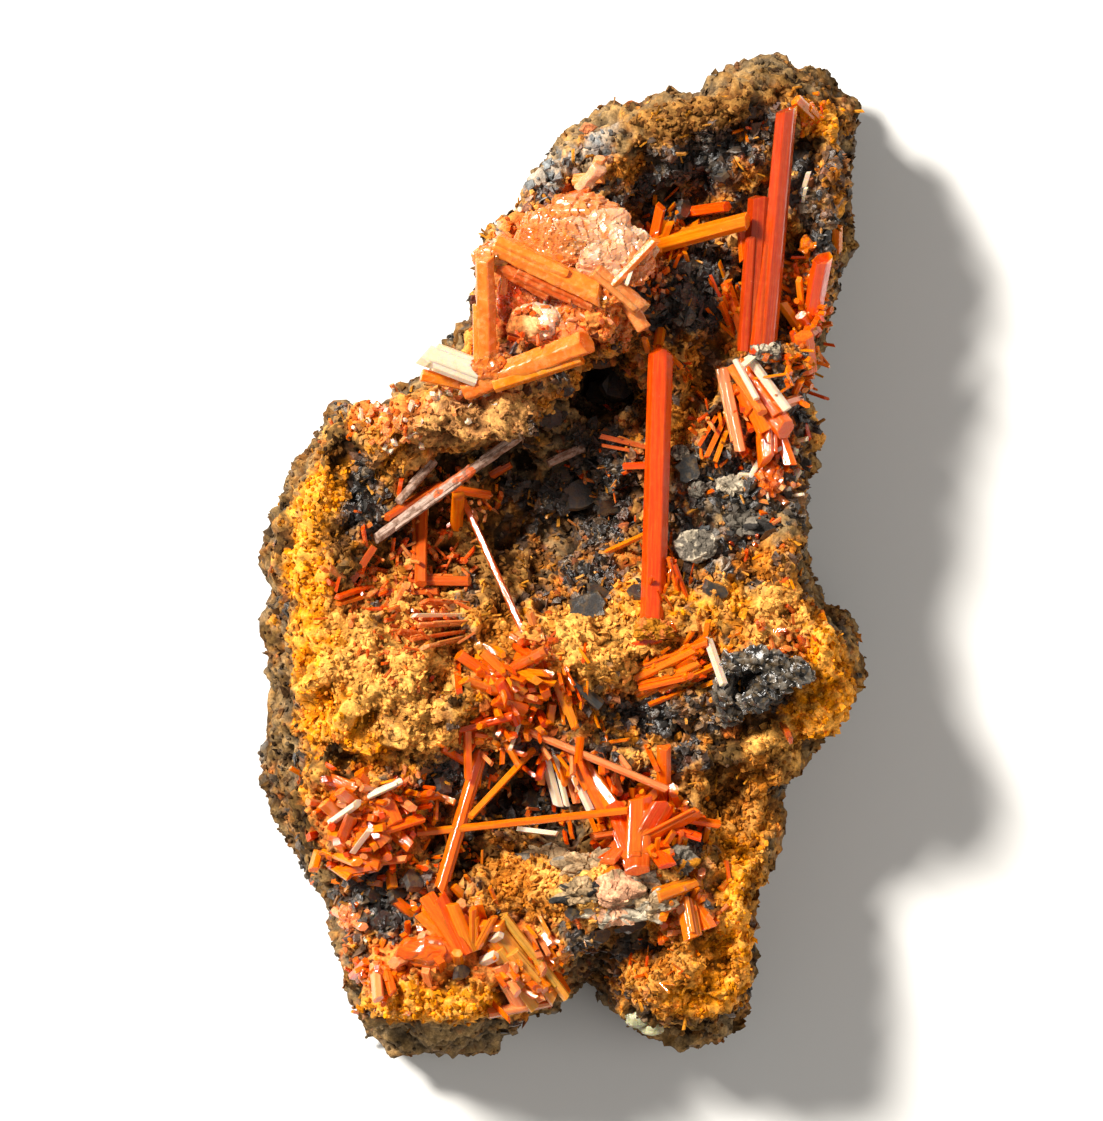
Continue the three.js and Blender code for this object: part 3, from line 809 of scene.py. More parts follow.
@dataclass
class Rock:
    """The spongy matrix: the frame's solid, roughened by lumps, plates and pores."""

    minerals: MineralMap
    voxel: float = 0.34
    rounding: int = 7
    triangles: int = 196_000
    lumps: float = 0.85
    lump_span: float = 3.4
    crags: float = 1.3
    crag_span: float = 5.6
    crumbs: float = 0.75
    crumb_span: float = 1.25
    pores: float = 1.15
    pore_span: float = 1.9
    plates: float = 0.75
    bias: float = -0.12
    resting: float = 0.12
    rooted: float = 1.5
    hollow_rounds: int = 12
    hollow_shade: float = 2.1
    wall_top: float = 17
    wall_fade: float = 6
    wall_shade: float = 0.4

    def base_mesh(self, node: Model) -> Mesh:
        """Copy the frame's solid with even small faces and softened edges.

        Args:
            node: the CAD node.

        Returns:
            The new mesh.
        """
        shape = bmesh.new()
        shape.from_mesh(node.data)
        bmesh.ops.remove_doubles(shape, verts=shape.verts, dist=1e-6)
        return modified(mesh_of(shape, "rock_start"), {
            "REMESH": {"mode": "VOXEL", "voxel_size": self.voxel * MM},
            "SMOOTH": {"factor": 0.5, "iterations": self.rounding},
        })

    def roughness(self, place: Vector, shares: np.ndarray) -> float:
        """Work out how far the surface stands out at a place.

        Args:
            place: the place in millimetres.
            shares: the minerals there.

        Returns:
            Millimetres along the surface's normal.
        """
        yellow, ochre, tan, drab, brown, umber, black, grey, cream_and_highlight, rust, peach, coral, _ = shares
        soft = yellow + ochre + rust + cream_and_highlight
        lumps = noise.fractal(place / self.lump_span, 0.7, 2.2, 4) * self.lumps
        crags = (0.5 - 2 * abs(noise.noise(place / self.crag_span + Vector((3.1, 0, 0))))) * self.crags
        grains = noise.voronoi(place / self.crumb_span)[0]
        crumbly = 1.2 * soft + peach + coral + 0.7 * tan + 0.5 * brown
        crumbs = (0.42 - grains[0]) * self.crumbs * crumbly
        holes = noise.voronoi(place / self.pore_span + Vector((7.7, 1.3, 4.1)))[0]
        pores = -max(0.0, 0.5 - holes[0]) * 2.2 * self.pores * (drab + brown + 0.8 * umber)
        slant = Vector((place.x * 0.62 + place.z * 0.5, place.y * 0.7 - place.x * 0.25, place.z * 0.95))
        warp = noise.noise_vector(place * 0.5) * 0.6
        plates = (noise.cell(slant + warp) - 0.5) * self.plates * (black + 0.8 * grey + 0.5 * umber)
        grit = noise.noise(place * 2.1) * 0.2 + noise.noise(place * 4.4) * 0.12
        return self.bias + lumps + crags + crumbs + pores + plates + grit

    def roughen(self, mesh: Mesh) -> None:
        """Move the mesh's points along their normals, all but the flat back.

        Args:
            mesh: the mesh to change.
        """
        points = point_array(mesh)
        shares = self.minerals.shares(points)
        push = np.array([self.roughness(Vector(point), share) for point, share in zip(points, shares)])
        push *= np.clip(points[:, 2] / self.rooted, 0, 1)
        moved = points + vertex_array(mesh, "normal") * push[:, None]
        moved[:, 2] = np.where(points[:, 2] < self.resting, 0, np.maximum(moved[:, 2], 0))
        mesh.vertices.foreach_set("co", (moved * MM).ravel())
        mesh.update()

    def thin(self, mesh: Mesh) -> Mesh:
        """Merge faces where the surface is plain, down to the wanted number.

        Args:
            mesh: the roughened mesh.

        Returns:
            The thinned mesh.
        """
        triangles = sum(len(polygon.vertices) - 2 for polygon in mesh.polygons)
        return modified(mesh, {"DECIMATE": {"ratio": min(1.0, self.triangles / triangles)}})

    @staticmethod
    def hollowness(mesh: Mesh, rounds: int) -> np.ndarray:
        """Measure how deep each point lies below its surroundings.

        Args:
            mesh: the mesh to measure.
            rounds: how many times the surroundings are averaged.

        Returns:
            Millimetres below the surroundings, negative on what stands out.
        """
        points = point_array(mesh)
        pairs = np.zeros(len(mesh.edges) * 2, dtype=np.int64)
        mesh.edges.foreach_get("vertices", pairs)
        first, second = pairs.reshape(-1, 2).T
        count = np.bincount(pairs, minlength=len(points))[:, None]
        smooth = points.copy()
        for _ in range(rounds):
            total = np.zeros_like(smooth)
            np.add.at(total, first, smooth[second])
            np.add.at(total, second, smooth[first])
            smooth = total / count
        return np.einsum("ij,ij->i", smooth - points, vertex_array(mesh, "normal"))

    @staticmethod
    def smooth_powder(mesh: Mesh, shares: np.ndarray) -> None:
        """Shade powdery faces smooth, and leave the faces of black and grey oxide flat.

        Args:
            mesh: the mesh to shade.
            shares: the minerals at each of its points.
        """
        corners = np.zeros(len(mesh.loops), dtype=np.int64)
        mesh.loops.foreach_get("vertex_index", corners)
        starts = np.zeros(len(mesh.polygons), dtype=np.int64)
        mesh.polygons.foreach_get("loop_start", starts)
        mesh.polygons.foreach_set("use_smooth", gloss_of(shares)[corners[starts]] < 0.5)

    def build(self, node: Model, materials: dict[str, Material]) -> Model:
        """Build and colour the rock, with painted shade in its hollows and low on its walls, and a painted
        highlight on what stands out.

        Args:
            node: the CAD node that it replaces.
            materials: the finishes by name.

        Returns:
            The rock's object.
        """
        mesh = self.base_mesh(node)
        self.roughen(mesh)
        mesh = self.thin(mesh)
        points = point_array(mesh)
        shares = self.minerals.shares(points)
        # Painted shade in the hollows and painted highlight on what stands out, from how deep each point
        # lies below its surroundings.
        light = np.clip(1.02 - self.hollow_shade * self.hollowness(mesh, self.hollow_rounds), 0.2, 1.4)
        # Painted shade low on the walls, strongest where they face sideways or down.
        low = np.clip((self.wall_top - points[:, 2]) / self.wall_fade, 0, 1)
        light *= 1 - self.wall_shade * low * np.clip(1 - 1.6 * vertex_array(mesh, "normal")[:, 2], 0, 1)
        set_point_colours(mesh, self.minerals.paint(shares, light), gloss_of(shares))
        self.smooth_powder(mesh, shares)
        return finish_object("spongy_matrix", mesh, materials, "gossan", (node.name,))


@dataclass(frozen=True)
class Prism:
    """One crystal from foot to tip, with the rods that grew beside it."""

    foot: Place
    tip: Place
    width: float
    tint: Tint = Tint.ORANGE
    flat: float = 0.88
    end: Tip = Tip.ASLANT
    beside: int = 1
    sides: int = 6
    taper: float = 0.95
    roll: float = 0.4
    worn: float = 0.0


def needle(foot: Place, tip: Place, width: float, tint: Tint = Tint.ORANGE, flat: float = 0.88,
           end: Tip = Tip.ASLANT) -> Prism:
    """Describe a thin crystal with four sides, alone.

    Args:
        foot: where it starts.
        tip: where it ends.
        width: its width.
        tint: its colour.
        flat: its depth as a share of its width.
        end: how it ends.

    Returns:
        The crystal.
    """
    return Prism(foot, tip, width, tint, flat, end, beside=0, sides=4)


@dataclass(frozen=True)
class Knob:
    """A rounded knob of grown-together crystals, or a lump of oxide."""

    at: Place
    size: Place
    tint: Tint = Tint.ORANGE
    mix: Tint | None = None
    bumps: float = 0.4
    pitch: float = 0.7
    swell: float = 0.3
    plain_level: int = 5
    large: float = 2.2


@dataclass(frozen=True)
class Slab:
    """A ragged flat plate of oxide. Headings and leans are degrees; lean is from lying flat."""

    at: Place
    size: Place
    heading: float
    lean: float
    tint: Tint = Tint.OXIDE


def shaded(tint: Tint, shade: float) -> Place:
    """Make a tint lighter or darker."""
    red, green, blue, _ = tint.colour
    return (min(1, red * shade), min(1, green * shade), min(1, blue * shade))


@dataclass
class Bench:
    """A growth in the making: its mesh, the rock that it grows from and its random numbers.

    Heights are above the rock, or above its flat back if level is set. Widths and depths of a
    tip's hollow and of bevelled edges are shares of the crystal's width.
    """

    shape: Shape
    ground: Ground
    rng: random.Random
    level: bool
    slant: Span = (0.25, 0.6)
    hollow_rim: float = 0.16
    hollow_depth: float = 0.45
    uneven: Span = (0.9, 1.1)
    bevel: float = 0.035
    bevelled_from: float = 1.0
    beside_width: Span = (0.35, 0.6)
    beside_length: Span = (0.55, 0.97)
    shades: Span = (0.85, 1.15)
    slab_shades: Span = (0.7, 1.3)
    slab_edge: Span = (0.62, 1.1)

    def place(self, spot: Place) -> Vector:
        """Turn a written place into a point of the frame, in millimetres."""
        x, y, z = spot
        return Vector((x + CENTRING[0], y + CENTRING[1], z)) if self.level else self.ground.over(x, y, z)

    def all_but(self, others: set[bmesh.types.BMVert]) -> Points:
        """Give the shape's points that aren't among the others."""
        return [vert for vert in self.shape.verts if vert not in others]

    def dress(self, points: Points, phase: Vector, colours: Iterable[Place]) -> None:
        """Store where each point lies in its crystal's pattern, and its colour.

        Args:
            points: the crystal's points.
            phase: the shift of its pattern.
            colours: a linear colour for each point.
        """
        grain = self.shape.verts.layers.float_vector[GRAIN]
        tint = self.shape.verts.layers.float_color[MINERAL]
        for vert, colour in zip(points, colours):
            vert[grain] = vert.co + phase
            vert[tint] = (*colour, 1)

    def cut(self, others: set[bmesh.types.BMVert], height: float, normal: Vector = UP,
            clear: bool = False) -> list[bmesh.types.BMEdge]:
        """Cut a rod across with a plane.

        Args:
            others: the points that belong to other rods.
            height: where the plane crosses z.
            normal: the plane's normal.
            clear: whether what lies past the plane is cleared away.

        Returns:
            The edges along the cut.
        """
        mine = self.all_but(others)
        edges = list({edge for vert in mine for edge in vert.link_edges})
        faces = list({face for vert in mine for face in vert.link_faces})
        made = bmesh.ops.bisect_plane(self.shape, geom=mine + edges + faces, dist=CUT_REACH,
                                      plane_co=(0, 0, height), plane_no=normal, clear_outer=clear)
        return [part for part in made["geom_cut"] if isinstance(part, bmesh.types.BMEdge)]

    def cut_tip(self, rod: Points, length: float, prism: Prism) -> Points:
        """Cut a rod's end the way the crystal ends.

        Args:
            rod: the rod's points, along z.
            length: how long the rod is at its end.
            prism: the crystal's sizes.

        Returns:
            The rod's points after the cut.
        """
        others = set(self.shape.verts) - set(rod)
        lean = self.rng.uniform(*self.slant)
        spin = self.rng.uniform(0, math.tau)
        aslant = Vector((lean * math.cos(spin), lean * math.sin(spin), 1)).normalized()
        planes = {
            Tip.ASLANT: [aslant],
            Tip.HOPPER: [aslant],
            Tip.ROOF: [aslant, Vector((-aslant.x, -aslant.y, aslant.z))],
            Tip.BLUNT: [UP],
        }[prism.end]
        for normal in planes:
            rim = self.cut(others, length - 0.3 * prism.width * lean, normal, clear=True)
            cap = bmesh.ops.contextual_create(self.shape, geom=rim)["faces"]
            if prism.end is Tip.HOPPER and cap:
                bmesh.ops.inset_region(self.shape, faces=cap, thickness=self.hollow_rim * prism.width,
                                       depth=-self.hollow_depth * prism.width)
        return self.all_but(others)

    def wear(self, others: set[bmesh.types.BMVert], length: float, depth: float) -> Points:
        """Make a rod's sides uneven, as on a corroded crystal.

        Args:
            others: the points that belong to other rods.
            length: the rod's length.
            depth: millimetres that the sides come and go.

        Returns:
            The rod's points, now with rings of points along it.
        """
        for step in range(1, int(length / RING_STEP)):
            self.cut(others, RING_STEP * step)
        rod = self.all_but(others)
        phase = Vector((self.rng.uniform(0, 90), 0, 0))
        moves = [depth * 1.3 * noise.noise_vector(vert.co * 1.3 + phase) for vert in rod]
        for vert, move in zip(rod, moves):
            vert.co += move
        return rod

    def add_rod(self, prism: Prism, width: float, length: float, aside: Vector) -> Points:
        """Add one rod that stands along z.

        Args:
            prism: the crystal's sizes.
            width: this rod's width.
            length: this rod's length.
            aside: how far it stands beside the crystal's axis.

        Returns:
            The rod's points.
        """
        tall = length + 0.8 * prism.width
        rod = bmesh.ops.create_cone(self.shape, cap_ends=True, segments=prism.sides, radius1=0.5 * width,
                                    radius2=0.5 * width * prism.taper, depth=tall,
                                    matrix=Matrix.Translation(0.5 * tall * UP))["verts"]
        bend = [self.rng.uniform(*self.uneven) for _ in range(prism.sides)]
        for vert in rod:
            corner = round(math.atan2(vert.co.y, vert.co.x) / math.tau * prism.sides) % prism.sides
            vert.co.x *= bend[corner]
            vert.co.y *= bend[corner] * prism.flat
        rod = self.cut_tip(rod, length, prism)
        if prism.width > self.bevelled_from:
            others = set(self.shape.verts) - set(rod)
            edges = list({edge for vert in rod for edge in vert.link_edges})
            bmesh.ops.bevel(self.shape, geom=edges, offset=(self.bevel + prism.worn) * width,
                            offset_type="OFFSET", segments=2 if prism.worn else 1, profile=0.5,
                            affect="EDGES", material=-1, clamp_overlap=True)
            rod = self.wear(others, length, prism.worn * width) if prism.worn else self.all_but(others)
        bmesh.ops.translate(self.shape, vec=aside, verts=rod)
        return rod

    def add_prism(self, prism: Prism) -> None:
        """Add a crystal with the rods that grew beside it.

        Args:
            prism: the crystal's sizes.
        """
        rng = self.rng
        foot = self.place(prism.foot)
        axis = self.place(prism.tip) - foot
        turn = UP.rotation_difference(axis) @ Quaternion(UP, prism.roll)
        stand = Matrix.Translation(foot) @ turn.to_matrix().to_4x4()
        for number in range(prism.beside + 1):
            share = 1.0 if number == 0 else rng.uniform(*self.beside_width)
            angle = rng.uniform(0, math.tau)
            off = 0.0 if number == 0 else (0.58 - 0.35 * share) * prism.width
            aside = Vector((off * math.cos(angle), off * math.sin(angle) * prism.flat, 0))
            length = axis.length * (1.0 if number == 0 else rng.uniform(*self.beside_length))
            rod = self.add_rod(prism, prism.width * share, length, aside)
            phase = Vector([rng.uniform(0, 50) for _ in range(3)])
            shade = rng.uniform(*self.shades)
            self.dress(rod, phase, [shaded(prism.tint, shade)] * len(rod))
            bmesh.ops.transform(self.shape, matrix=stand, verts=rod)

    def add_knob(self, knob: Knob) -> None:
        """Add a knob, with the facets of the grains that it is made of.

        Args:
            knob: its place and size.
        """
        level = knob.plain_level + (max(knob.size) > knob.large)
        ball = bmesh.ops.create_icosphere(self.shape, subdivisions=level, radius=1.0)["verts"]
        phase = Vector((self.rng.uniform(0, 90), 0, 0))
        tints = [knob.tint, knob.mix or knob.tint]
        colours = []
        for vert in ball:
            out = vert.co.copy()
            place = Vector(a * b for a, b in zip(out, knob.size))
            swell = 1 + knob.swell * noise.noise(out * 1.6 + phase)
            spot = place / knob.pitch + phase
            centre = noise.voronoi(spot)[1][0]
            chance = noise.cell(centre * 31.7)
            facet = noise.cell_vector(centre * 17.3).dot(spot - centre) + 0.25 * chance
            vert.co = place * swell + out * knob.bumps * knob.pitch * facet
            mixed = noise.noise(place * 0.7 + phase) + 0.4 * chance > 0.25
            colours.append(shaded(tints[mixed], 0.78 + 0.22 * chance))
        self.dress(ball, phase, colours)
        bmesh.ops.translate(self.shape, vec=self.place(knob.at), verts=ball)

    def add_slab(self, slab: Slab) -> None:
        """Add a ragged plate.

        Args:
            slab: its place and size.
        """
        plate = bmesh.ops.create_cone(self.shape, cap_ends=True, segments=SLAB_CORNERS, radius1=0.5,
                                      radius2=0.45, depth=1.0)["verts"]
        ragged = [self.rng.uniform(*self.slab_edge) for _ in range(SLAB_CORNERS)]
        phase = Vector((self.rng.uniform(0, 90), 0, 0))
        shade = self.rng.uniform(*self.slab_shades)
        for vert in plate:
            corner = round(math.atan2(vert.co.y, vert.co.x) / math.tau * SLAB_CORNERS) % SLAB_CORNERS
            vert.co.x *= ragged[corner] * slab.size[0]
            vert.co.y *= ragged[corner] * slab.size[1]
            vert.co.z *= slab.size[2]
            vert.co.z += 0.22 * noise.noise(vert.co * 0.6 + phase)
        self.dress(plate, phase, [shaded(slab.tint, shade)] * len(plate))
        heading = Matrix.Rotation(math.radians(slab.heading), 4, "Z")
        turn = heading @ Matrix.Rotation(math.radians(slab.lean), 4, "Y")
        stand = Matrix.Translation(self.place(slab.at)) @ turn
        bmesh.ops.transform(self.shape, matrix=stand, verts=plate)


@dataclass
class Growth:
    """Crystals grown together as one piece, which stands for the CAD node of its name if there is one."""

    name: str
    parts: tuple[Prism | Knob | Slab, ...]
    finish: str = "crocoite"
    level: bool = False
    has_node: bool = True
    seed: int = 1

    def build(self, ground: Ground, materials: dict[str, Material]) -> Model:
        """Build and dress the growth.

        Args:
            ground: the rock that it grows from.
            materials: the finishes by name.

        Returns:
            The growth's object.
        """
        shape = bmesh.new()
        shape.verts.layers.float_vector.new(GRAIN)
        shape.verts.layers.float_color.new(MINERAL)
        bench = Bench(shape, ground, random.Random(f"{self.name} {self.seed}"), self.level)
        add = {Prism: bench.add_prism, Knob: bench.add_knob, Slab: bench.add_slab}
        for part in self.parts:
            add[type(part)](part)
        bmesh.ops.recalc_face_normals(shape, faces=shape.faces)
        bmesh.ops.scale(shape, vec=(MM, MM, MM), verts=shape.verts)
        replaced = (self.name,) if self.has_node else ()
        return finish_object(self.name, mesh_of(shape, self.name), materials, self.finish, replaced)


GROWTHS = (
    Growth("tower_tall_prism", (
        Prism((20.6, 19.9, 0.6), (22.8, 44.8, 2.4), 2.5, Tint.GARNET, end=Tip.HOPPER, beside=0, roll=0.8),
        Prism((20, 19.9, 0.6), (21.3, 31, 4.2), 2.6, Tint.GARNET, beside=0, roll=0.36),
        Prism((19.2, 20.3, 0.4), (20.2, 36, 4.2), 2.5, Tint.GARNET, end=Tip.ROOF, roll=0.42),
    )),
    Growth("tower_side_prisms", (
        needle((18.8, 21.6, -0.8), (16.7, 27.4, 2.2), 1.2),
        Prism((18.6, 20.8, -0.8), (19.3, 30.2, 4), 1.6, Tint.BRICK, beside=0),
        needle((17.6, 22, -0.5), (16.2, 25.2, 2), 0.7),
    )),
    Growth("tower_tip_chip", (
        Prism((26, 43.4, -0.8), (23.6, 45.5, 2.2), 1.5, Tint.BRIGHT),
        needle((24.6, 43, -0.6), (24.4, 45, 2), 0.7, Tint.BRIGHT),
    )),
    Growth("tower_cross_prism", (
        Prism((9, 30.7, 0.2), (19, 33.2, 6.6), 2.1, Tint.BRIGHT, beside=0, roll=0.2),
        needle((9.2, 29.6, -0.8), (10.3, 35, 4.6), 1.4),
        needle((10, 29.8, -0.6), (11.2, 33.2, 4.6), 1, Tint.BRIGHT),
        needle((18.3, 32.2, 4.2), (18.5, 29.2, 4.8), 1.1),
    )),
    Growth("tower_back_plate", (
        Prism((13.2, 34.4, -0.6), (17, 34.8, 3.4), 1.4, Tint.RED, end=Tip.BLUNT, beside=0),
    )),
    Growth("tower_rim_prisms", (
        Prism((25.3, 23.6, -0.8), (26.4, 29.8, 3.2), 2.3, Tint.RED, end=Tip.HOPPER),
        Prism((24.2, 22.6, -0.8), (22.2, 25.4, 2.2), 1.3, Tint.BRIGHT, beside=0),
        needle((24.4, 24.6, 0.4), (24, 27.6, 2.6), 0.8, Tint.BRIGHT),
        needle((26.6, 24.6, 0.2), (25.6, 23.2, 2.6), 0.9),
        Prism((25.6, 22.2, -0.4), (24.2, 24, 1.6), 1.4, flat=0.6),
    )),
    Growth("tower_rim_bead", (
        Knob((24.8, 30.9, 1.4), (0.8, 0.8, 0.8), Tint.BRIGHT),
        needle((25, 29.4, -0.8), (24.9, 30.8, 1.6), 0.8, Tint.BRIGHT, end=Tip.BLUNT),
    )),
    Growth("tower_rim_plate", (
        Prism((24.9, 18.2, -0.6), (24.4, 22.2, 2.2), 2.3, flat=0.5),
    )),
    Growth("tower_rim_chip", (
        needle((28, 30.4, -0.8), (28, 33, 1.8), 1.2, Tint.BRIGHT, end=Tip.BLUNT),
    )),
    Growth("tower_white_needle", (
        needle((24, 34.6, -0.8), (25, 38.2, 2), 0.7, Tint.PALE),
        needle((24.4, 34.8, -0.4), (24.7, 36.6, 1.8), 0.5, Tint.PALE),
    )),
    Growth("centre_prism", (
        Prism((9.4, -6.8, -0.8), (10.2, 21.1, 2.8), 2.75, Tint.RED, end=Tip.ROOF, beside=0, roll=0.5236),
        Prism((9.9, -4, -1.4), (10.6, 18.6, 2.9), 1.7, beside=0, roll=0.45),
        needle((10.6, 20.4, 1.4), (12.4, 18.6, 2.6), 0.6, Tint.BRIGHT),
        needle((9, 20.2, 1.8), (8.6, 21.6, 2.8), 0.7, Tint.BRIGHT),
        needle((4.2, 0, -0.4), (9.2, 2.3, 4.6), 0.7, Tint.BRIGHT),
        needle((12.2, -4.6, -0.4), (11, -0.2, 2.4), 0.6),
        needle((12.8, -4.2, -0.4), (11.6, -0.9, 2), 0.5, Tint.RED),
        Prism((10.2, 22.4, -0.4), (9.9, 20.6, 1.8), 1.2, Tint.BRIGHT, end=Tip.HOPPER, beside=0),
    )),
    Growth("stained_cluster", (
        Prism((-7, 17.4, 28.4), (-7.2, 29.8, 31.6), 2.2, Tint.AMBER, roll=0.2, worn=0.03),
        Prism((-9.4, 16.4, 27.4), (3.2, 21.2, 30), 2.9, Tint.AMBER, roll=0.7, worn=0.03),
        Prism((-6.4, 16.8, 28.6), (2.4, 19.6, 29.4), 1.8, Tint.BRIGHT),
        Prism((-7.2, 29.4, 30), (-0.6, 25.6, 29.8), 1.8, Tint.BRICK, beside=0, worn=0.04),
        needle((-5.4, 25.8, 29.2), (-5.2, 28.6, 29.9), 0.7, Tint.PINK),
        # Painted glint: the pale tint stands for the white glint on this crystal's top.
        Prism((-8, 17.9, 28.6), (-13.7, 20, 30.2), 2.5, Tint.PALE, 0.8, end=Tip.HOPPER, beside=2, roll=0.9),
        Prism((-8.6, 16.8, 27.6), (-13.8, 17.9, 28.6), 1.6, Tint.BRIGHT, end=Tip.BLUNT, beside=0),
        Knob((-1.8, 23, 28.4), (2.2, 2, 1.5), Tint.PALE, Tint.BLUSH, bumps=0.35, pitch=0.45),
        Knob((-7, 18.6, 28.6), (2, 1.5, 1.4), Tint.AMBER, Tint.PINK, pitch=0.6),
        Knob((-6.9, 29.4, 30.4), (1.6, 1.4, 1.3), Tint.STAINED, Tint.GOLD, pitch=0.6),
        Knob((0.8, 22.2, 28), (2.6, 1.8, 1.3), Tint.PINK, Tint.STAINED),
        Knob((2.2, 24.4, 28.4), (2.6, 2, 1.4), Tint.AMBER, Tint.BLUSH, bumps=0.5),
        Knob((-3.6, 25.4, 27.4), (2.4, 3.4, 1.2), Tint.BRICK, Tint.RED, pitch=0.45),
    ), "stained_crocoite", level=True),
    Growth("stained_diagonal", (
        Prism((-6.2, 30.8, 30.6), (4.8, 25.4, 30.8), 3, Tint.AMBER, 0.8, roll=0.2, worn=0.03),
        Prism((-4, 28.2, 30.2), (3.8, 24.6, 30.2), 1.8, Tint.BRICK, worn=0.04),
        Prism((3.6, 28.2, 31), (8.7, 23.9, 29.6), 2.2, Tint.STAINED, end=Tip.HOPPER, worn=0.04),
        Prism((6.4, 25.6, 29.4), (8.6, 22.2, 28.6), 1.8, Tint.STAINED, beside=0, worn=0.05),
        Prism((5.4, 26.6, 31), (9.8, 31.2, 32.2), 1.1, Tint.AMBER),
        needle((7.4, 28.6, 31.2), (6.7, 26.6, 31.8), 0.5, Tint.PALE),
        Knob((5.6, 30, 29.8), (4, 3, 2), Tint.BLUSH, Tint.PALE, bumps=0.42, pitch=0.58),
        Knob((3.4, 31.6, 29.7), (4.4, 2.8, 1.9), Tint.BLUSH, Tint.PINK, bumps=0.42, pitch=0.58),
        Knob((0.2, 31.4, 29.6), (4.4, 3.2, 1.8), Tint.STAINED, Tint.AMBER, pitch=0.45, swell=0.15),
        Knob((2.4, 33.6, 29.2), (4.2, 1.8, 1.8), Tint.STAINED, Tint.PINK),
        Knob((4.8, 25.6, 30), (1.9, 1.5, 1.4), Tint.AMBER, Tint.GOLD, bumps=0.5, pitch=0.6),
        Knob((7.4, 29.2, 29.8), (2.2, 2.4, 1.8), Tint.PINK, Tint.AMBER),
    ), "stained_crocoite", level=True),
    Growth("stained_beads", (
        Knob((5.2, 21.6, 0.2), (0.95, 0.95, 1), Tint.STAINED),
        Knob((6.5, 22.2, 0.4), (0.95, 0.9, 1), Tint.STAINED),
        Knob((5.6, 23, 0.4), (0.85, 0.9, 0.9), Tint.PINK),
        Knob((6.6, 23.6, 0.2), (0.7, 0.7, 0.8), Tint.STAINED),
        Knob((4.5, 24.4, 0.2), (0.8, 0.8, 0.8), Tint.BRICK),
        Knob((6.4, 20.8, 0), (0.6, 0.6, 0.7), Tint.STAINED),
    ), "stained_crocoite"),
    Growth("upper_rim_lump", (
        Prism((2.4, 36.4, 0), (4.4, 38.8, 2), 2.2, Tint.BLUSH, 0.8, end=Tip.BLUNT, worn=0.06),
        Prism((1.6, 37.2, -0.2), (4.6, 37.4, 1.2), 1.6, Tint.STAINED, 0.7),
        Prism((3.4, 37, 0.2), (4.2, 39.6, 1.6), 1.4, Tint.PINK, 0.8, end=Tip.BLUNT),
        Prism((1.2, 35.8, -0.2), (3.4, 36.4, 0.8), 1.1, Tint.BRICK, 0.7, beside=0),
    ), "stained_crocoite"),
    Growth("coated_crystal_long", (
        Prism((-3.6, 12, 20.4), (-10.6, 7, 21.3), 1.4, Tint.COATED, 0.8, roll=0.9, worn=0.04),
        Prism((-9.9, 7.5, 21.2), (-18.4, 1.5, 21.6), 1.5, Tint.COATED, 0.8, beside=2, roll=0.9, worn=0.05),
        Prism((-8.4, 8.6, 21), (-12.8, 5.4, 21.3), 1.7, Tint.BRICK, 0.8, beside=0, worn=0.1),
    ), "coated_crystal", level=True),
    Growth("coated_crystal_short", (
        Prism((-12.4, 9.4, -0.6), (-16, 5.2, 2.6), 1.1, Tint.COATED, end=Tip.BLUNT),
    ), "coated_crystal"),
    Growth("pocket_prisms", (
        Prism((-13.7, 5.2, 0.6), (-13.7, -3, 1.2), 1.5, Tint.BRICK),
        Prism((-18, -2.5, -0.8), (-8.7, -2.6, 1.8), 1.3, Tint.BRICK),
        needle((-18.2, -3.8, -0.6), (-11.8, -3.7, 1.4), 1, Tint.BRICK),
    )),
    Growth("pocket_flat_prism", (
        Prism((-11.6, 7, 0.6), (-17.2, 3.6, 1.8), 1.6, Tint.BRICK, 0.6, end=Tip.BLUNT),
    )),
    Growth("pocket_short_prism", (
        needle((-20.6, -2.6, -0.6), (-18.2, 1, 2.4), 1.2, Tint.BRICK, end=Tip.BLUNT),
        needle((-17.8, -2.8, -0.4), (-22, -4.2, 1.2), 0.8, Tint.RED),
        needle((-18.4, -3.8, -0.4), (-22, -4.9, 1), 0.7),
    )),
    Growth("long_needle", (
        Prism((-3.4, -7.8, -0.6), (-9.6, 5.8, 3.2), 0.75, Tint.BRICK, beside=0, roll=0.92),
        Prism((-10.6, 6.6, 2.2), (-6.8, 6, 3.4), 1.1, end=Tip.BLUNT, beside=0),
        Prism((-10.2, 2, -0.8), (-9.9, 6.2, 3.4), 1.4, Tint.BRIGHT),
        Prism((-6.6, 8, 0), (-4.6, 9.2, 1.6), 1.3, Tint.BRICK, 0.6),
    )),
    Growth("vug_rods", (
        needle((8.9, 10.8, 0.6), (4.2, 11.9, 2.4), 0.8, Tint.BRICK),
        needle((8.6, 10.2, 0.4), (4.3, 11, 1.8), 0.5, Tint.BRICK),
        needle((9, 9, -0.2), (6.4, 8.9, 1.8), 0.9, Tint.RED, end=Tip.BLUNT),
    )),
    Growth("vug_grey_crystal", (
        Prism((2.6, 10.8, -0.8), (-1.2, 9.1, 2), 1, Tint.COATED, end=Tip.BLUNT),
    ), "coated_crystal"),
    Growth("bank_sheaf", (
        Prism((-9.2, -5, -0.4), (-13.6, -4.6, 1.6), 1.3, Tint.BRICK, 0.4),
        needle((-9.4, -6, -0.2), (-14.4, -6, 2), 1.2, Tint.PALE, 0.35),
        Prism((-9.2, -6.8, -0.6), (-14, -7, 1.8), 1.4, Tint.STAINED, 0.4),
        needle((-9.4, -7.6, -0.6), (-14.6, -8.4, 1.6), 1.2, Tint.BRICK, 0.4),
        Prism((-9.8, -8.4, -0.6), (-13.4, -9.2, 1.4), 1.2, Tint.STAINED, 0.45),
    ), "stained_crocoite"),
    Growth("bank_bundle", (
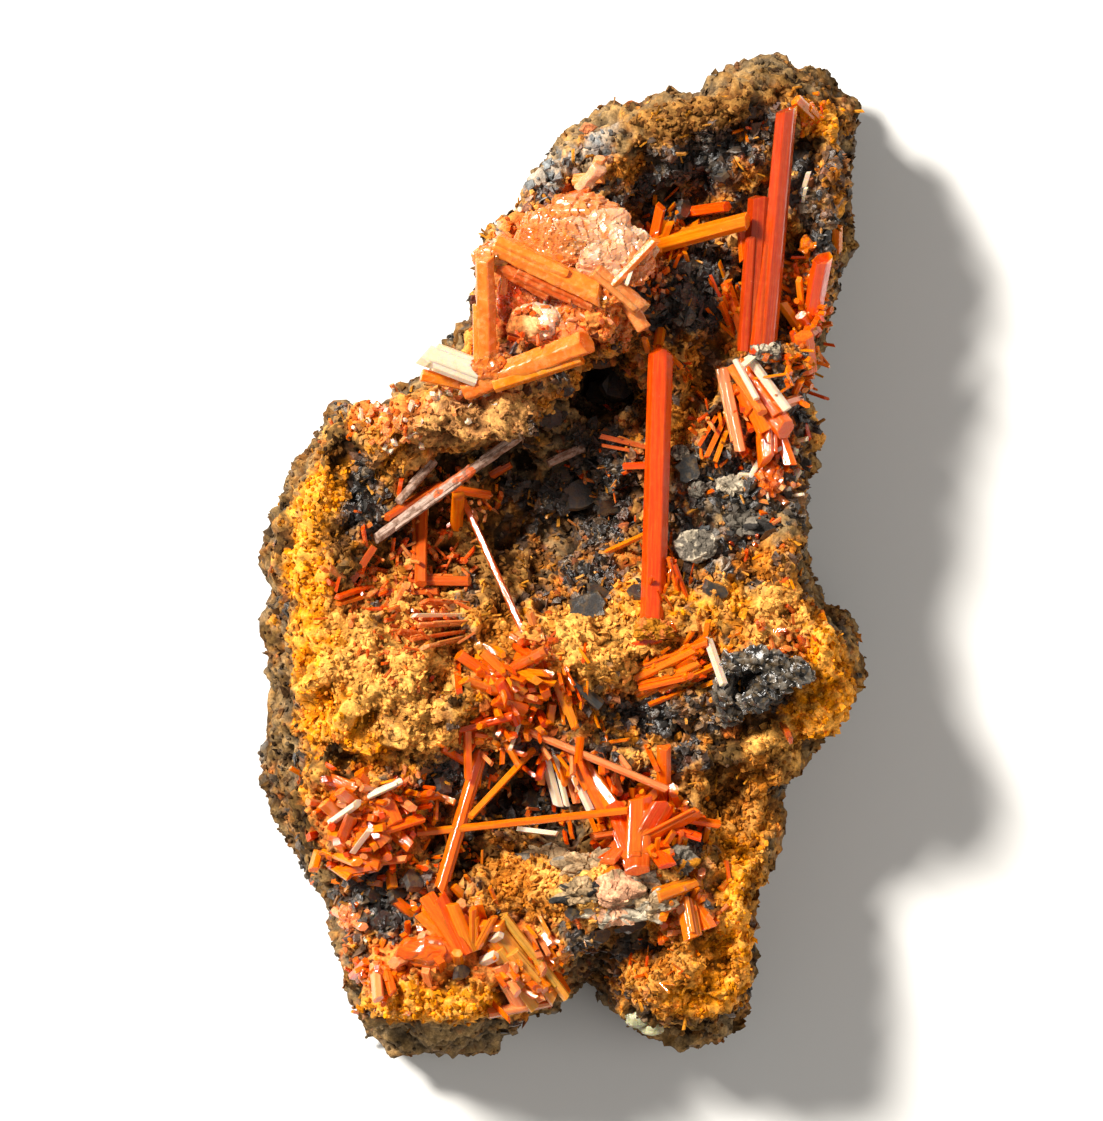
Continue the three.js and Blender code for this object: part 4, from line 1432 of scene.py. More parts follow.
        Prism((-3.6, -14.2, -0.4), (-10, -9.8, 1.8), 1.4, flat=0.6, roll=0.9),
        Prism((-3.2, -13.6, 0.2), (-7.6, -9.6, 2.2), 1.2, Tint.BRIGHT, 0.6, roll=1.2),
        Prism((-3.6, -14.4, -0.4), (-9.6, -12.4, 1.4), 1.2, Tint.BRIGHT, 0.6, roll=0.8),
        Prism((-4, -16.6, 0.2), (-5.8, -12.2, 1.4), 1.8, Tint.RED, 0.6, roll=0.9),
        Prism((-3.2, -15.4, 0), (-6.4, -14.4, 1.6), 1.4, flat=0.6, roll=0.9),
        Prism((-4.4, -11.2, -0.4), (-1, -9.4, 1.8), 1.5, Tint.BRICK, end=Tip.HOPPER),
    )),
    Growth("bank_needle", (
        Prism((-0.8, -10.6, -0.6), (1.8, -17.4, 2.4), 1, Tint.BRIGHT),
    )),
    Growth("right_sheaf", (
        Prism((8, -13.9, -0.4), (14.2, -10.6, 1.8), 1.3, Tint.BRIGHT, beside=2),
        Prism((7.8, -12.3, -0.4), (13.8, -9.4, 2), 1.2, Tint.BRIGHT),
        Prism((8.8, -11, -0.4), (15, -8.6, 1.6), 1.1),
        needle((10.2, -13.5, 0.2), (15.7, -11, 1.8), 0.9, Tint.BRIGHT),
        needle((13, -13.4, -0.2), (9, -15, 1.2), 0.7),
        Prism((8.2, -13, 0), (13.4, -11.8, 1.4), 1.6, flat=0.5, beside=2, roll=0.9),
    )),
    Growth("right_white_needle", (
        needle((14.8, -8, 0.8), (16.5, -13, 2.4), 0.9, Tint.PALE, end=Tip.BLUNT),
        needle((14.6, -9.2, 0.2), (14.9, -6.5, 1.8), 0.8, Tint.BRIGHT),
    )),
    Growth("right_fan", (
        # Painted glint: the pale tint stands for the white glint on these blades.
        Prism((17.7, 19.4, 1), (19.8, 15.4, 3.6), 0.8, Tint.PALE, 0.7, end=Tip.BLUNT, beside=0, roll=0),
        Prism((18.9, 19.8, 1), (22.9, 14.3, 4.2), 1.3, Tint.PALE, 0.5, end=Tip.BLUNT, beside=0, roll=0),
        Prism((18.2, 19.4, 0.5), (22, 13.8, 3.5), 1.7, flat=0.6, end=Tip.BLUNT, beside=0, roll=0.2),
        Prism((17.3, 18.8, 0.6), (20.4, 14, 3.2), 1.2, Tint.AMBER, 0.6, beside=0, roll=0.2),
        Prism((18.8, 17.6, 0.2), (21.4, 12.2, 2.6), 3.8, flat=0.4, roll=0.9),
        Prism((20.4, 15.4, 0.2), (22.9, 12.2, 3.2), 2.5, flat=0.7, beside=0, roll=0.3),
        Prism((24.1, 15.6, 0), (21.6, 14.8, 2.6), 1.2, Tint.PINK),
        needle((20.2, 20.3, 0.2), (18.3, 18.7, 2.8), 0.8, Tint.PALE),
        Prism((22, 12.4, 0.4), (23.3, 8.8, 2.4), 1.4, flat=0.6),
        Prism((20.6, 13.4, 0.2), (20.8, 9, 2), 2.4, flat=0.5, beside=2, roll=0.9),
        needle((19.4, 17.5, 1.4), (22.8, 18, 3.2), 0.35, Tint.BRIGHT),
        needle((23.5, 17.1, 0.4), (21.6, 15.8, 3), 0.35, Tint.BRIGHT),
        needle((22.8, 18, 1.6), (23.4, 16.8, 2.8), 0.3, Tint.BRIGHT),
    )),
    Growth("right_fan_side", (
        Prism((16.5, 18.6, 0.4), (18.2, 10.2, 2.2), 1.3, Tint.PINK),
        needle((16.6, 13.6, -0.4), (14.7, 9.6, 1.6), 0.8),
        needle((17, 13, -0.4), (15.6, 9.2, 1.8), 0.7, Tint.BRIGHT),
        needle((15.8, 13.8, -0.4), (14, 10.8, 1.4), 0.6),
    )),
    Growth("right_fan_lump", (
        Knob((21, 7.6, 0.1), (1.4, 1.6, 1.3)),
        needle((20, 8.8, -0.2), (22.6, 6.6, 1.6), 0.8, Tint.PINK),
    ), "stained_crocoite"),
    Growth("pale_needle", (
        Prism((-4.2, -17.1, -0.4), (11, -23.4, 3.6), 0.95, Tint.PINK, beside=0),
        # Painted glint: the pale tint stands for the white glint along this needle.
        needle((-3.6, -17.4, 0), (8, -22.1, 3.1), 0.5, Tint.PALE),
    )),
    Growth("hollow_stub", (
        Prism((10.6, -24.6, -0.6), (10.6, -18.7, 3), 1.5, end=Tip.ROOF),
    )),
    Growth("long_hollow_prism", (
        Prism((-7.8, -19.6, -0.6), (-11.9, -33.6, 2.2), 1.5, roll=1),
        Prism((-14, -27.8, -0.2), (7.2, -25.4, 5.6), 0.9, Tint.BRIGHT, beside=0),
        Prism((-11.6, -19.2, -0.4), (-6.2, -22.4, 3), 1.2, beside=0),
    )),
    Growth("hollow_crossing_needle", (
        needle((-1.6, -18.6, -0.8), (-8.8, -26.2, 4.8), 0.9, Tint.BRIGHT),
        needle((-5.4, -16.4, -0.6), (-5.6, -21, 3.2), 0.6),
    )),
    Growth("hollow_upper_blade", (
        needle((-0.6, -14.8, -0.4), (-1.8, -23.2, 4.2), 1.1, Tint.BRIGHT),
        needle((-3.7, -16.4, -0.4), (-4.8, -19.4, 3.4), 0.6, Tint.PALE),
    )),
    Growth("hollow_side_prism", (
        Prism((-9.8, -17.4, -0.4), (-4.4, -16, 1.8), 1.1, Tint.RED),
        needle((-9.1, -16.8, -0.4), (-9, -22.4, 2.4), 0.9),
    )),
    Growth("lower_hollow_crust", (
        Prism((0.8, -18.4, 0.2), (4.6, -25.8, 4), 1.4, flat=0.6, beside=2, roll=0.9),
        Prism((2.2, -20.4, 0), (6, -25.8, 4.2), 1.6, Tint.BRIGHT, 0.6, roll=0.9),
        # Painted glint: the pale tint stands for the white glint on these blades.
        needle((-1.4, -19.8, 0.2), (0.1, -25.3, 4), 1, Tint.PALE, 0.7),
        needle((-0.5, -19.4, 0.4), (0.9, -25.2, 4.2), 0.6, Tint.PALE),
        needle((0.5, -19.5, 0.2), (1.9, -25, 4.2), 0.9, Tint.PINK, 0.7),
        needle((1.4, -21.6, 0.2), (3.4, -25.8, 4), 0.9, Tint.PALE),
        Prism((7.8, -30.6, 1.4), (5.4, -24.4, 4), 2.3, Tint.RED, 0.4, end=Tip.ROOF, roll=0.8),
        Prism((8, -30.4, 1.6), (8.3, -23.7, 4.3), 2.9, flat=0.4, roll=0.35),
        Prism((7.8, -29.6, 1.8), (11.1, -24, 4.2), 3.2, Tint.RED, 0.35, end=Tip.ROOF, roll=0.2),
        Prism((8.2, -28.6, 2), (14.4, -25.4, 4), 3, flat=0.4, roll=0.2),
        Prism((8, -27.4, 1.6), (3, -28.2, 3.8), 2.5, Tint.BRICK, 0.4, beside=2, roll=0.2),
        Prism((8.2, -26.8, 1.4), (4.6, -30.9, 3.2), 2.6, Tint.BRICK, 0.4, end=Tip.ROOF),
        Prism((8, -27.2, 1.4), (7.8, -31.6, 3.2), 2.9, Tint.BRICK, 0.4, beside=2, roll=0.1),
        Prism((8.4, -27.4, 1.2), (11, -31, 2.8), 2.2, Tint.RED, 0.4),
        needle((-4, -27.5, 0.8), (0, -27.9, 4.2), 0.8, Tint.PALE),
        Prism((6.8, -29, 0), (4.2, -30.6, 2.4), 1.2, Tint.RED, beside=0),
    )),
    Growth("hollow_red_plate", (
        Prism((8.4, -25.6, 2.4), (16.3, -26.9, 3.6), 1.9, flat=0.45, beside=2, roll=0.1),
        Prism((9.4, -26.6, 2.4), (14.4, -28.2, 3.2), 1.6, Tint.RED, 0.45, roll=0.2),
    )),
    Growth("lower_left_druse", (
        Prism((-18.8, -24, 0.4), (-15.4, -22.4, 2.4), 1.3, Tint.PALE, 0.6),
        Prism((-22.6, -26.6, 0.4), (-19.8, -24.6, 2.8), 1.4, Tint.PALE, 0.6),
        needle((-20.4, -29.6, 0.6), (-18.6, -27.2, 2.8), 1.2, Tint.PALE, 0.6),
        Prism((-17.9, -27.6, 0.6), (-13.4, -26.2, 2.6), 1.5, flat=0.6, roll=0.9),
        Prism((-23.6, -29.3, 0.2), (-19.8, -30.7, 2.2), 1.3, Tint.BRIGHT, 0.6),
        Prism((-17.3, -24, 0.2), (-16, -27, 2.4), 1.9, flat=0.5),
        needle((-15.9, -25, 0), (-11.8, -24, 1.8), 1),
        Prism((-21.6, -28.6, 0), (-20.4, -25.6, 2.4), 1.8, Tint.BRICK, 0.6, end=Tip.HOPPER, beside=0),
        Prism((-19.2, -26.2, 0), (-17, -29, 2.4), 1.9, Tint.BRICK, 0.6, end=Tip.HOPPER, beside=0),
        Prism((-19.6, -25.4, 0), (-21.8, -23.4, 2.4), 1.6, flat=0.6),
        Prism((-22.8, -30.8, 0), (-20.6, -32.2, 1.8), 1.5, Tint.BRIGHT, 0.5),
        Prism((-20.8, -29.4, 0), (-17.6, -31, 2), 1.6, flat=0.5, beside=2),
        Prism((-16.6, -27.4, 0), (-14.6, -29.2, 2), 1.5, flat=0.5, roll=0.9),
        Prism((-21.4, -26.4, 0), (-23.4, -24.6, 1.8), 1.5, Tint.BRIGHT, 0.5, roll=0.9),
    )),
    Growth("druse_upper_prism", (
        Prism((-23.4, -22.2, 0), (-20, -23.4, 1.8), 1.2),
    )),
    Growth("lower_left_prism", (
        Prism((-21.6, -31.6, 0.6), (-18.4, -31, 2.4), 1.3),
        needle((-18.3, -30.7, 0.2), (-15, -30.3, 2), 1, Tint.PINK),
    )),
    Growth("left_wall_crystal", (
        Knob((-20.6, -36.4, 0.1), (1.5, 1.4, 1.4), Tint.PINK),
        Prism((-22.4, -35.8, 0), (-19.4, -37.2, 1.6), 1.2, Tint.PINK, end=Tip.BLUNT, beside=0),
    ), "stained_crocoite"),
    Growth("foot_blocks", (
        Prism((-9.2, -40, 0.4), (-13.3, -33.7, 2.6), 1.9, flat=0.55, end=Tip.ROOF, beside=2, roll=0.9),
        Prism((-8.9, -39.8, 0.8), (-11.9, -33.9, 3.2), 1.7, Tint.RED, 0.55, beside=2, roll=1.1),
        Prism((-8.6, -39.6, 0.6), (-10.6, -34.6, 3), 1.5, Tint.BRIGHT, 0.55, roll=0.8),
        Prism((-9.8, -39.6, 0.2), (-13.9, -35.6, 2), 1.7, flat=0.55, roll=0.9),
        Prism((-8.4, -39.4, 0.2), (-8.4, -35, 2.2), 1.5, Tint.BRIGHT, 0.5, beside=2, roll=1),
        Prism((-8, -39.2, 0.2), (-6.2, -35.8, 2.2), 1.4, Tint.BRIGHT, 0.5, roll=0.9),
        Prism((-11.2, -39.9, 0.6), (-16.2, -39, 2.2), 2.9, sides=8, taper=0.8, worn=0.1),
        Knob((-12.4, -39.5, 1.3), (2.6, 1.5, 1.1), bumps=0.05, swell=0.1),
        Prism((-14.4, -39.8, 0.2), (-16.6, -40.8, 1.8), 1.5, Tint.PINK),
    )),
    Growth("foot_fan", (
        Prism((-5.4, -36, 21.8), (0.9, -44.3, 19), 1, Tint.HONEY, roll=0.9),
        Prism((-6, -37.2, 21.6), (-0.2, -44.6, 18.8), 1.5, Tint.HONEY, 0.7, beside=2),
        Prism((-6.4, -38.2, 21.2), (-1.2, -44.8, 18.4), 1.6, Tint.BRIGHT, 0.7, beside=2),
        Prism((-6.2, -39.4, 21), (-2.2, -45.2, 18.2), 1.8, Tint.HONEY, 0.7, beside=2),
        Prism((-5.8, -40.8, 20.8), (-3.4, -45.4, 18), 1.8, Tint.PINK, 0.7, beside=2),
        Prism((-4.6, -39.6, 21.4), (-1.4, -43.4, 19.6), 1.8, Tint.HONEY, 0.7, beside=2, roll=1),
        Prism((-7, -45.9, 18.4), (-0.5, -44.7, 17.6), 1.4, Tint.PINK, end=Tip.BLUNT),
        Prism((-8.8, -37, 21.2), (-5.2, -37, 22.2), 1.6, Tint.BRIGHT),
        needle((-7.6, -40.6, 20.8), (-6, -39.8, 22), 1.3, Tint.PALE, end=Tip.BLUNT),
        needle((-6.6, -38.4, 21.4), (-5.6, -37.8, 22.6), 1, Tint.PALE, end=Tip.BLUNT),
    ), level=True),
    Growth("foot_left_druse", (
        Prism((-18.4, -40.2, 0), (-17.9, -44.4, 2), 1.3, Tint.PINK),
        Prism((-17.2, -41.2, 0.2), (-16.4, -43.8, 1.8), 1.1),
        Prism((-20.6, -42.2, 0), (-19.1, -40.5, 1.8), 1.1, beside=0),
        Prism((-16.6, -42.8, 0), (-18.8, -41.4, 1.8), 1.5, flat=0.6),
    )),
    Growth("ridge_lens", (
        Prism((9.8, -34, 0.8), (14, -32.6, 1.8), 1.8, Tint.BRIGHT, end=Tip.ROOF, beside=2, taper=0.6),
    )),
    Growth("ridge_cluster", (
        Prism((12.6, -34.4, -0.2), (13.3, -38.4, 2), 2, Tint.BRIGHT, beside=2),
        Prism((13.6, -34.6, 0), (15.2, -37.4, 2), 1.8, beside=2),
    )),
    Growth("bank_grey_prism", (
        Prism((1.2, -12.6, -0.4), (4.4, -15.2, 1.8), 1.5, Tint.OXIDE, end=Tip.BLUNT),
    ), "oxide_crystal"),
    Growth("foot_pale_chip", (
        Knob((7.9, -46.7, 12.9), (1.2, 0.9, 0.7), Tint.CHIP, bumps=0.1, swell=0.2),
        Knob((9.4, -47.5, 12.4), (1.3, 0.9, 0.7), Tint.CHIP, bumps=0.1, swell=0.2),
    ), "pale_chip", level=True),
    Growth("black_loop", (
        Knob((17.6, -10.8, 0.9), (1.5, 1.2, 1.2), Tint.OXIDE, Tint.NODULE, bumps=0.7),
        Knob((19.6, -10.3, 1.5), (1.6, 1.1, 1.2), Tint.OXIDE, Tint.NODULE, bumps=0.7),
        Knob((21.6, -10.8, 1.7), (1.6, 1.2, 1.2), Tint.OXIDE, Tint.NODULE, bumps=0.7),
        Knob((23.6, -11.6, 1.4), (1.7, 1.3, 1.3), Tint.OXIDE, Tint.NODULE, bumps=0.7),
        Knob((21.4, -12.8, 1.2), (1.8, 1.2, 1.2), Tint.OXIDE, Tint.NODULE, bumps=0.7),
        Knob((19.4, -14.6, 1), (1.6, 1.1, 1.2), Tint.OXIDE, Tint.NODULE, bumps=0.7),
        Knob((17.2, -15.9, 0.8), (1.3, 1.1, 1.2), Tint.OXIDE, Tint.NODULE, bumps=0.7),
        Knob((16.4, -13.6, 0.6), (1, 1.6, 1.1), Tint.OXIDE, Tint.NODULE, bumps=0.7),
    ), "oxide_crystal", has_node=False),
    Growth("oxide_plates", (
        Slab((6.4, 17.6, 0.5), (4.6, 5, 0.6), 20, 20),
        Slab((4, 16.4, 0.3), (3.4, 2.6, 0.5), 100, 30),
        Slab((2.6, 6.4, 0.7), (5.2, 4.6, 0.6), 30, 16),
        Slab((5, 5, 0.4), (3.6, 2.6, 0.5), -30, 24),
        Slab((0.2, 8.4, 0.4), (3, 2.4, 0.5), 70, 30),
        Slab((13, 8.6, 0.5), (3.2, 3.6, 0.6), 0, 14),
        Slab((3.2, -5.2, 0.5), (4.6, 3.2, 0.5), 10, 8),
        Slab((4, -3.6, 0.3), (3, 1.6, 0.5), -30, 30),
        Slab((8.2, -3.8, 0.4), (2.2, 3, 0.6), 60, 40),
        Slab((15.6, -3.6, 0.5), (3.4, 2, 0.6), -30, 30),
        Slab((-0.6, 13.6, 0.3), (3, 2.4, 0.6), 30, 30),
        Slab((-14.4, -32.6, 0.8), (3.4, 2.4, 0.7), 60, 50),
        Slab((-16, -33.8, 0.7), (3.4, 2, 0.6), 30, 45),
        Slab((-18.4, -34, 0.6), (3.2, 2.2, 0.6), -20, 40),
        Slab((-17.6, -36.4, 0.5), (3.4, 2, 0.7), 10, 30),
        Slab((-15.2, -35.4, 0.5), (2.6, 1.8, 0.6), -50, 55),
        Slab((-19.4, -36, 0.4), (2.4, 2, 0.6), 80, 40),
        Slab((4, -38, 0.5), (3.6, 1.8, 0.7), 0, 40),
        Slab((7.4, -37, 0.6), (4, 1.6, 0.6), 15, 35),
        Slab((1.6, -35.4, 0.5), (2.6, 1.8, 0.6), 60, 40),
        Slab((-9.6, -41.6, 0.5), (2.4, 2, 0.6), 20, 40),
        Slab((-11.4, -22.8, 0.7), (2, 2.6, 0.6), 20, 50),
        Slab((-10.4, -24.4, 0.5), (1.8, 1.8, 0.6), -40, 50),
        Slab((-2.6, -24.6, 0.3), (3, 2.4, 0.6), 30, 50),
        Slab((12.6, 34.6, 0.4), (2.6, 2, 0.6), 20, 50),
        Slab((16.2, 38, 0.4), (2.6, 2, 0.6), 120, 55),
        Slab((13, 25, 0.4), (2.8, 2.2, 0.6), 30, 40),
        Slab((14.6, 28, 0.5), (2.2, 2, 0.6), -60, 50),
    ), "oxide_crystal", has_node=False),
    Growth("grey_nodules", (
        Knob((13.7, 0.9, 0.3), (2.1, 1.7, 0.7), Tint.NODULE, Tint.PALE_NODULE, pitch=0.5, swell=0.2),
        Knob((20.5, 20.4, 0.8), (1.5, 1.2, 1), Tint.NODULE, Tint.PALE_NODULE, bumps=0.6, pitch=0.5),
        Knob((13.9, 6.6, 0.3), (0.9, 0.8, 0.6), Tint.NODULE, Tint.PALE_NODULE, pitch=0.4),
        Knob((12.1, 10.3, 0.3), (0.9, 0.7, 0.6), Tint.NODULE, Tint.PALE_NODULE, pitch=0.4),
        Knob((17.4, 7, 0.3), (1.6, 0.9, 0.7), Tint.PALE_NODULE, bumps=0.7, pitch=0.5),
        Knob((14.6, 10.6, 0.3), (1.2, 0.9, 0.7), Tint.NODULE, Tint.OXIDE, bumps=0.7),
        Knob((18.4, 3, 0.1), (2.1, 1.1, 0.6), Tint.NODULE, Tint.OXIDE, bumps=0.9, swell=0.8),
        Knob((11.9, -30.4, 0.7), (1.9, 1.3, 1.1), Tint.NODULE, Tint.GOLD, bumps=0.7),
        Knob((9.3, -7.5, 0.2), (2, 1, 1.2), Tint.GOLD, Tint.STAINED, bumps=0.7, pitch=0.4, swell=0.8),
        Knob((3.4, -31, 0.3), (3.2, 1.2, 0.9), Tint.RIDGE, Tint.NODULE, bumps=0.55, pitch=0.55, swell=0.8),
        Knob((6, -33.2, 0.4), (2.4, 1.5, 0.9), Tint.BLUSH, Tint.RIDGE, bumps=0.35, pitch=0.5, swell=0.6),
        Knob((2.6, -33.6, 0.3), (2.6, 1.1, 0.8), Tint.RIDGE, Tint.OXIDE, bumps=0.55, pitch=0.55, swell=0.8),
        Knob((9.4, -34.6, 0.2), (2, 1.4, 0.8), Tint.RIDGE, Tint.PALE_NODULE, bumps=0.5, pitch=0.55,
             swell=0.8),
        Knob((-0.9, -30.1, 0.2), (2.4, 1.1, 0.8), Tint.RIDGE, Tint.NODULE, bumps=0.5, pitch=0.55,
             swell=0.8),
        Knob((5.4, -35.4, 0.2), (2.6, 1.3, 0.8), Tint.BLUSH, Tint.PALE_NODULE, bumps=0.45, pitch=0.5,
             swell=0.8),
        Knob((8.4, -32.2, 0.2), (1.7, 1.1, 0.8), Tint.PALE_NODULE, Tint.RIDGE, bumps=0.5, pitch=0.5,
             swell=0.8),
    ), "gossan", has_node=False),
)


@dataclass(frozen=True)
class Template:
    """A small shape that is repeated many times."""

    points: np.ndarray
    faces: list[tuple[int, ...]]

    @classmethod
    def of(cls, shape: Shape) -> "Template":
        """Read a shape and free it.

        Args:
            shape: the shape to read.

        Returns:
            The template.
        """
        bmesh.ops.recalc_face_normals(shape, faces=shape.faces)
        shape.verts.index_update()
        points = np.array([vert.co[:] for vert in shape.verts])
        faces = [tuple(vert.index for vert in face.verts) for face in shape.faces]
        shape.free()
        return cls(points, faces)

    @classmethod
    def grain(cls, seed: int) -> "Template":
        """Make an angular grain about one across.

        Args:
            seed: picks its unevenness.

        Returns:
            The template.
        """
        shape = bmesh.new()
        bmesh.ops.create_icosphere(shape, subdivisions=1, radius=0.5)
        for vert in shape.verts:
            vert.co *= 1 + 0.55 * noise.noise(vert.co * 3 + Vector((seed * 7.3, 0, 0)))
        return cls.of(shape)

    @classmethod
    def flake(cls, seed: int) -> "Template":
        """Make a thin plate about one across that lies in the plane of x and y.

        Args:
            seed: picks its unevenness.

        Returns:
            The template.
        """
        shape = bmesh.new()
        bmesh.ops.create_cone(shape, cap_ends=True, segments=6, radius1=0.5, radius2=0.43, depth=0.14)
        for vert in shape.verts:
            ragged = 1 + 1.5 * noise.noise(Vector((vert.co.x * 4, vert.co.y * 4, seed * 5.1)))
            vert.co.x *= ragged
            vert.co.y *= ragged
            vert.co.z += 0.25 * noise.noise(vert.co * 2 + Vector((0, 0, seed * 2.7)))
        return cls.of(shape)

    @classmethod
    def needle(cls, seed: int) -> "Template":
        """Make a prism of unit length and width along z, with a slanted end.

        Args:
            seed: picks its unevenness.

        Returns:
            The template.
        """
        rng = random.Random(seed)
        shape = bmesh.new()
        sides = 4 + 2 * (seed % 2)
        bmesh.ops.create_cone(shape, cap_ends=True, segments=sides, radius1=0.5, radius2=0.47, depth=1.3,
                              matrix=Matrix.Translation((0, 0, 0.65)))
        for vert in shape.verts:
            vert.co.y *= rng.uniform(0.6, 0.9) if sides == 4 else 0.8
        lean = Vector((rng.uniform(-0.6, 0.6), rng.uniform(-0.6, 0.6), 2.2))
        everything = shape.verts[:] + shape.edges[:] + shape.faces[:]
        cut = bmesh.ops.bisect_plane(shape, geom=everything, dist=CUT_REACH, plane_co=(0, 0, 0.96),
                                     plane_no=lean, clear_outer=True)
        rim = [part for part in cut["geom_cut"] if isinstance(part, bmesh.types.BMEdge)]
        bmesh.ops.contextual_create(shape, geom=rim)
        return cls.of(shape)


@dataclass
class Gathering:
    """Copies of small templates, joined as one mesh."""

    points: list[np.ndarray] = field(default_factory=list)
    faces: list[tuple[int, ...]] = field(default_factory=list)
    colours: list[np.ndarray] = field(default_factory=list)
    gloss: list[np.ndarray] = field(default_factory=list)
    grains: list[np.ndarray] = field(default_factory=list)
    total: int = 0

    def add(self, template: Template, size: Place, turn: Quaternion, middle: Vector, colour: np.ndarray,
            gloss: float, phase: float) -> None:
        """Add one copy.

        Args:
            template: the shape.
            size: its size along its own axes, in millimetres.
            turn: how it is turned.
            middle: where its own origin goes, in millimetres.
            colour: its linear colour with alpha.
            gloss: its gloss.
            phase: shift of its own pattern.
        """
        sized = template.points * np.array(size)
        self.points.append(sized @ np.array(turn.to_matrix()).T + np.array(middle))
        self.faces.extend(tuple(index + self.total for index in face) for face in template.faces)
        count = len(sized)
        self.colours.append(np.tile(colour, (count, 1)))
        self.gloss.append(np.full(count, gloss))
        self.grains.append(sized + phase)
        self.total += count

    def mesh(self, name: str) -> Mesh:
        """Join the copies.

        Args:
            name: the mesh's name.

        Returns:
            The mesh, in metres.
        """
        mesh = bpy.data.meshes.new(name)
        mesh.from_pydata((np.concatenate(self.points) * MM).tolist(), [], self.faces)
        set_point_colours(mesh, np.clip(np.concatenate(self.colours), 0, 1), np.concatenate(self.gloss))
        layer = mesh.attributes.new(GRAIN, "FLOAT_VECTOR", "POINT")
        layer.data.foreach_set("vector", np.concatenate(self.grains).astype(np.float32).ravel())
        return mesh


@dataclass(frozen=True)
class Spray:
    """Small crystals strewn about a place. Headings and leans are degrees; lean is from upright."""

    at: Span
    reach: Span
    count: int
    length: Span
    width: Span
    heading: Span = (0, 360)
    lean: Span = (15, 75)
    tints: tuple[Tint, ...] = (Tint.ORANGE, Tint.RED, Tint.BRIGHT, Tint.BRIGHT)


@dataclass
class Druse:
    """Small crystals that grow straight on the rock."""

    name: str
    sprays: tuple[Spray, ...]
    finish: str = "crocoite"
    buried: float = 0.35
    seed: int = 5

    def build(self, ground: Ground, materials: dict[str, Material]) -> Model:
        """Build and dress the druse.

        Args:
            ground: the roughened rock.
            materials: the finishes by name.

        Returns:
            The druse's object.
        """
        rng = random.Random(f"{self.name} {self.seed}")
        templates = [Template.needle(seed) for seed in range(6)]
        gathering = Gathering()
        for spray in self.sprays:
            for _ in range(spray.count):
                x = rng.gauss(spray.at[0], spray.reach[0] * 0.5)
                y = rng.gauss(spray.at[1], spray.reach[1] * 0.5)
                if ground.height(x, y) is None:
                    continue
                foot = ground.over(x, y, -self.buried)
                heading = math.radians(rng.uniform(*spray.heading))
                lean = math.radians(rng.uniform(*spray.lean))
                axis = Vector((math.sin(lean) * math.cos(heading), math.sin(lean) * math.sin(heading),
                               math.cos(lean)))
                turn = UP.rotation_difference(axis) @ Quaternion(UP, rng.uniform(0, math.tau))
                width = rng.uniform(*spray.width)
                length = rng.uniform(*spray.length)
                colour = np.array(rng.choice(spray.tints).colour)
                colour[:3] *= rng.uniform(0.75, 1.2)
                gathering.add(rng.choice(templates), (width, width, length), turn, foot, colour, 0,
                              rng.uniform(0, 90))
        return finish_object(self.name, gathering.mesh(self.name), materials, self.finish)


WARM = (Tint.ORANGE, Tint.RED, Tint.BRIGHT, Tint.PINK)
SUNNY = (Tint.ORANGE, Tint.BRIGHT, Tint.BRIGHT, Tint.PINK)
MUTED = (Tint.BRICK, Tint.RED, Tint.STAINED, Tint.BRICK)
PINKISH = (Tint.PINK, Tint.PALE, Tint.STAINED, Tint.ORANGE)

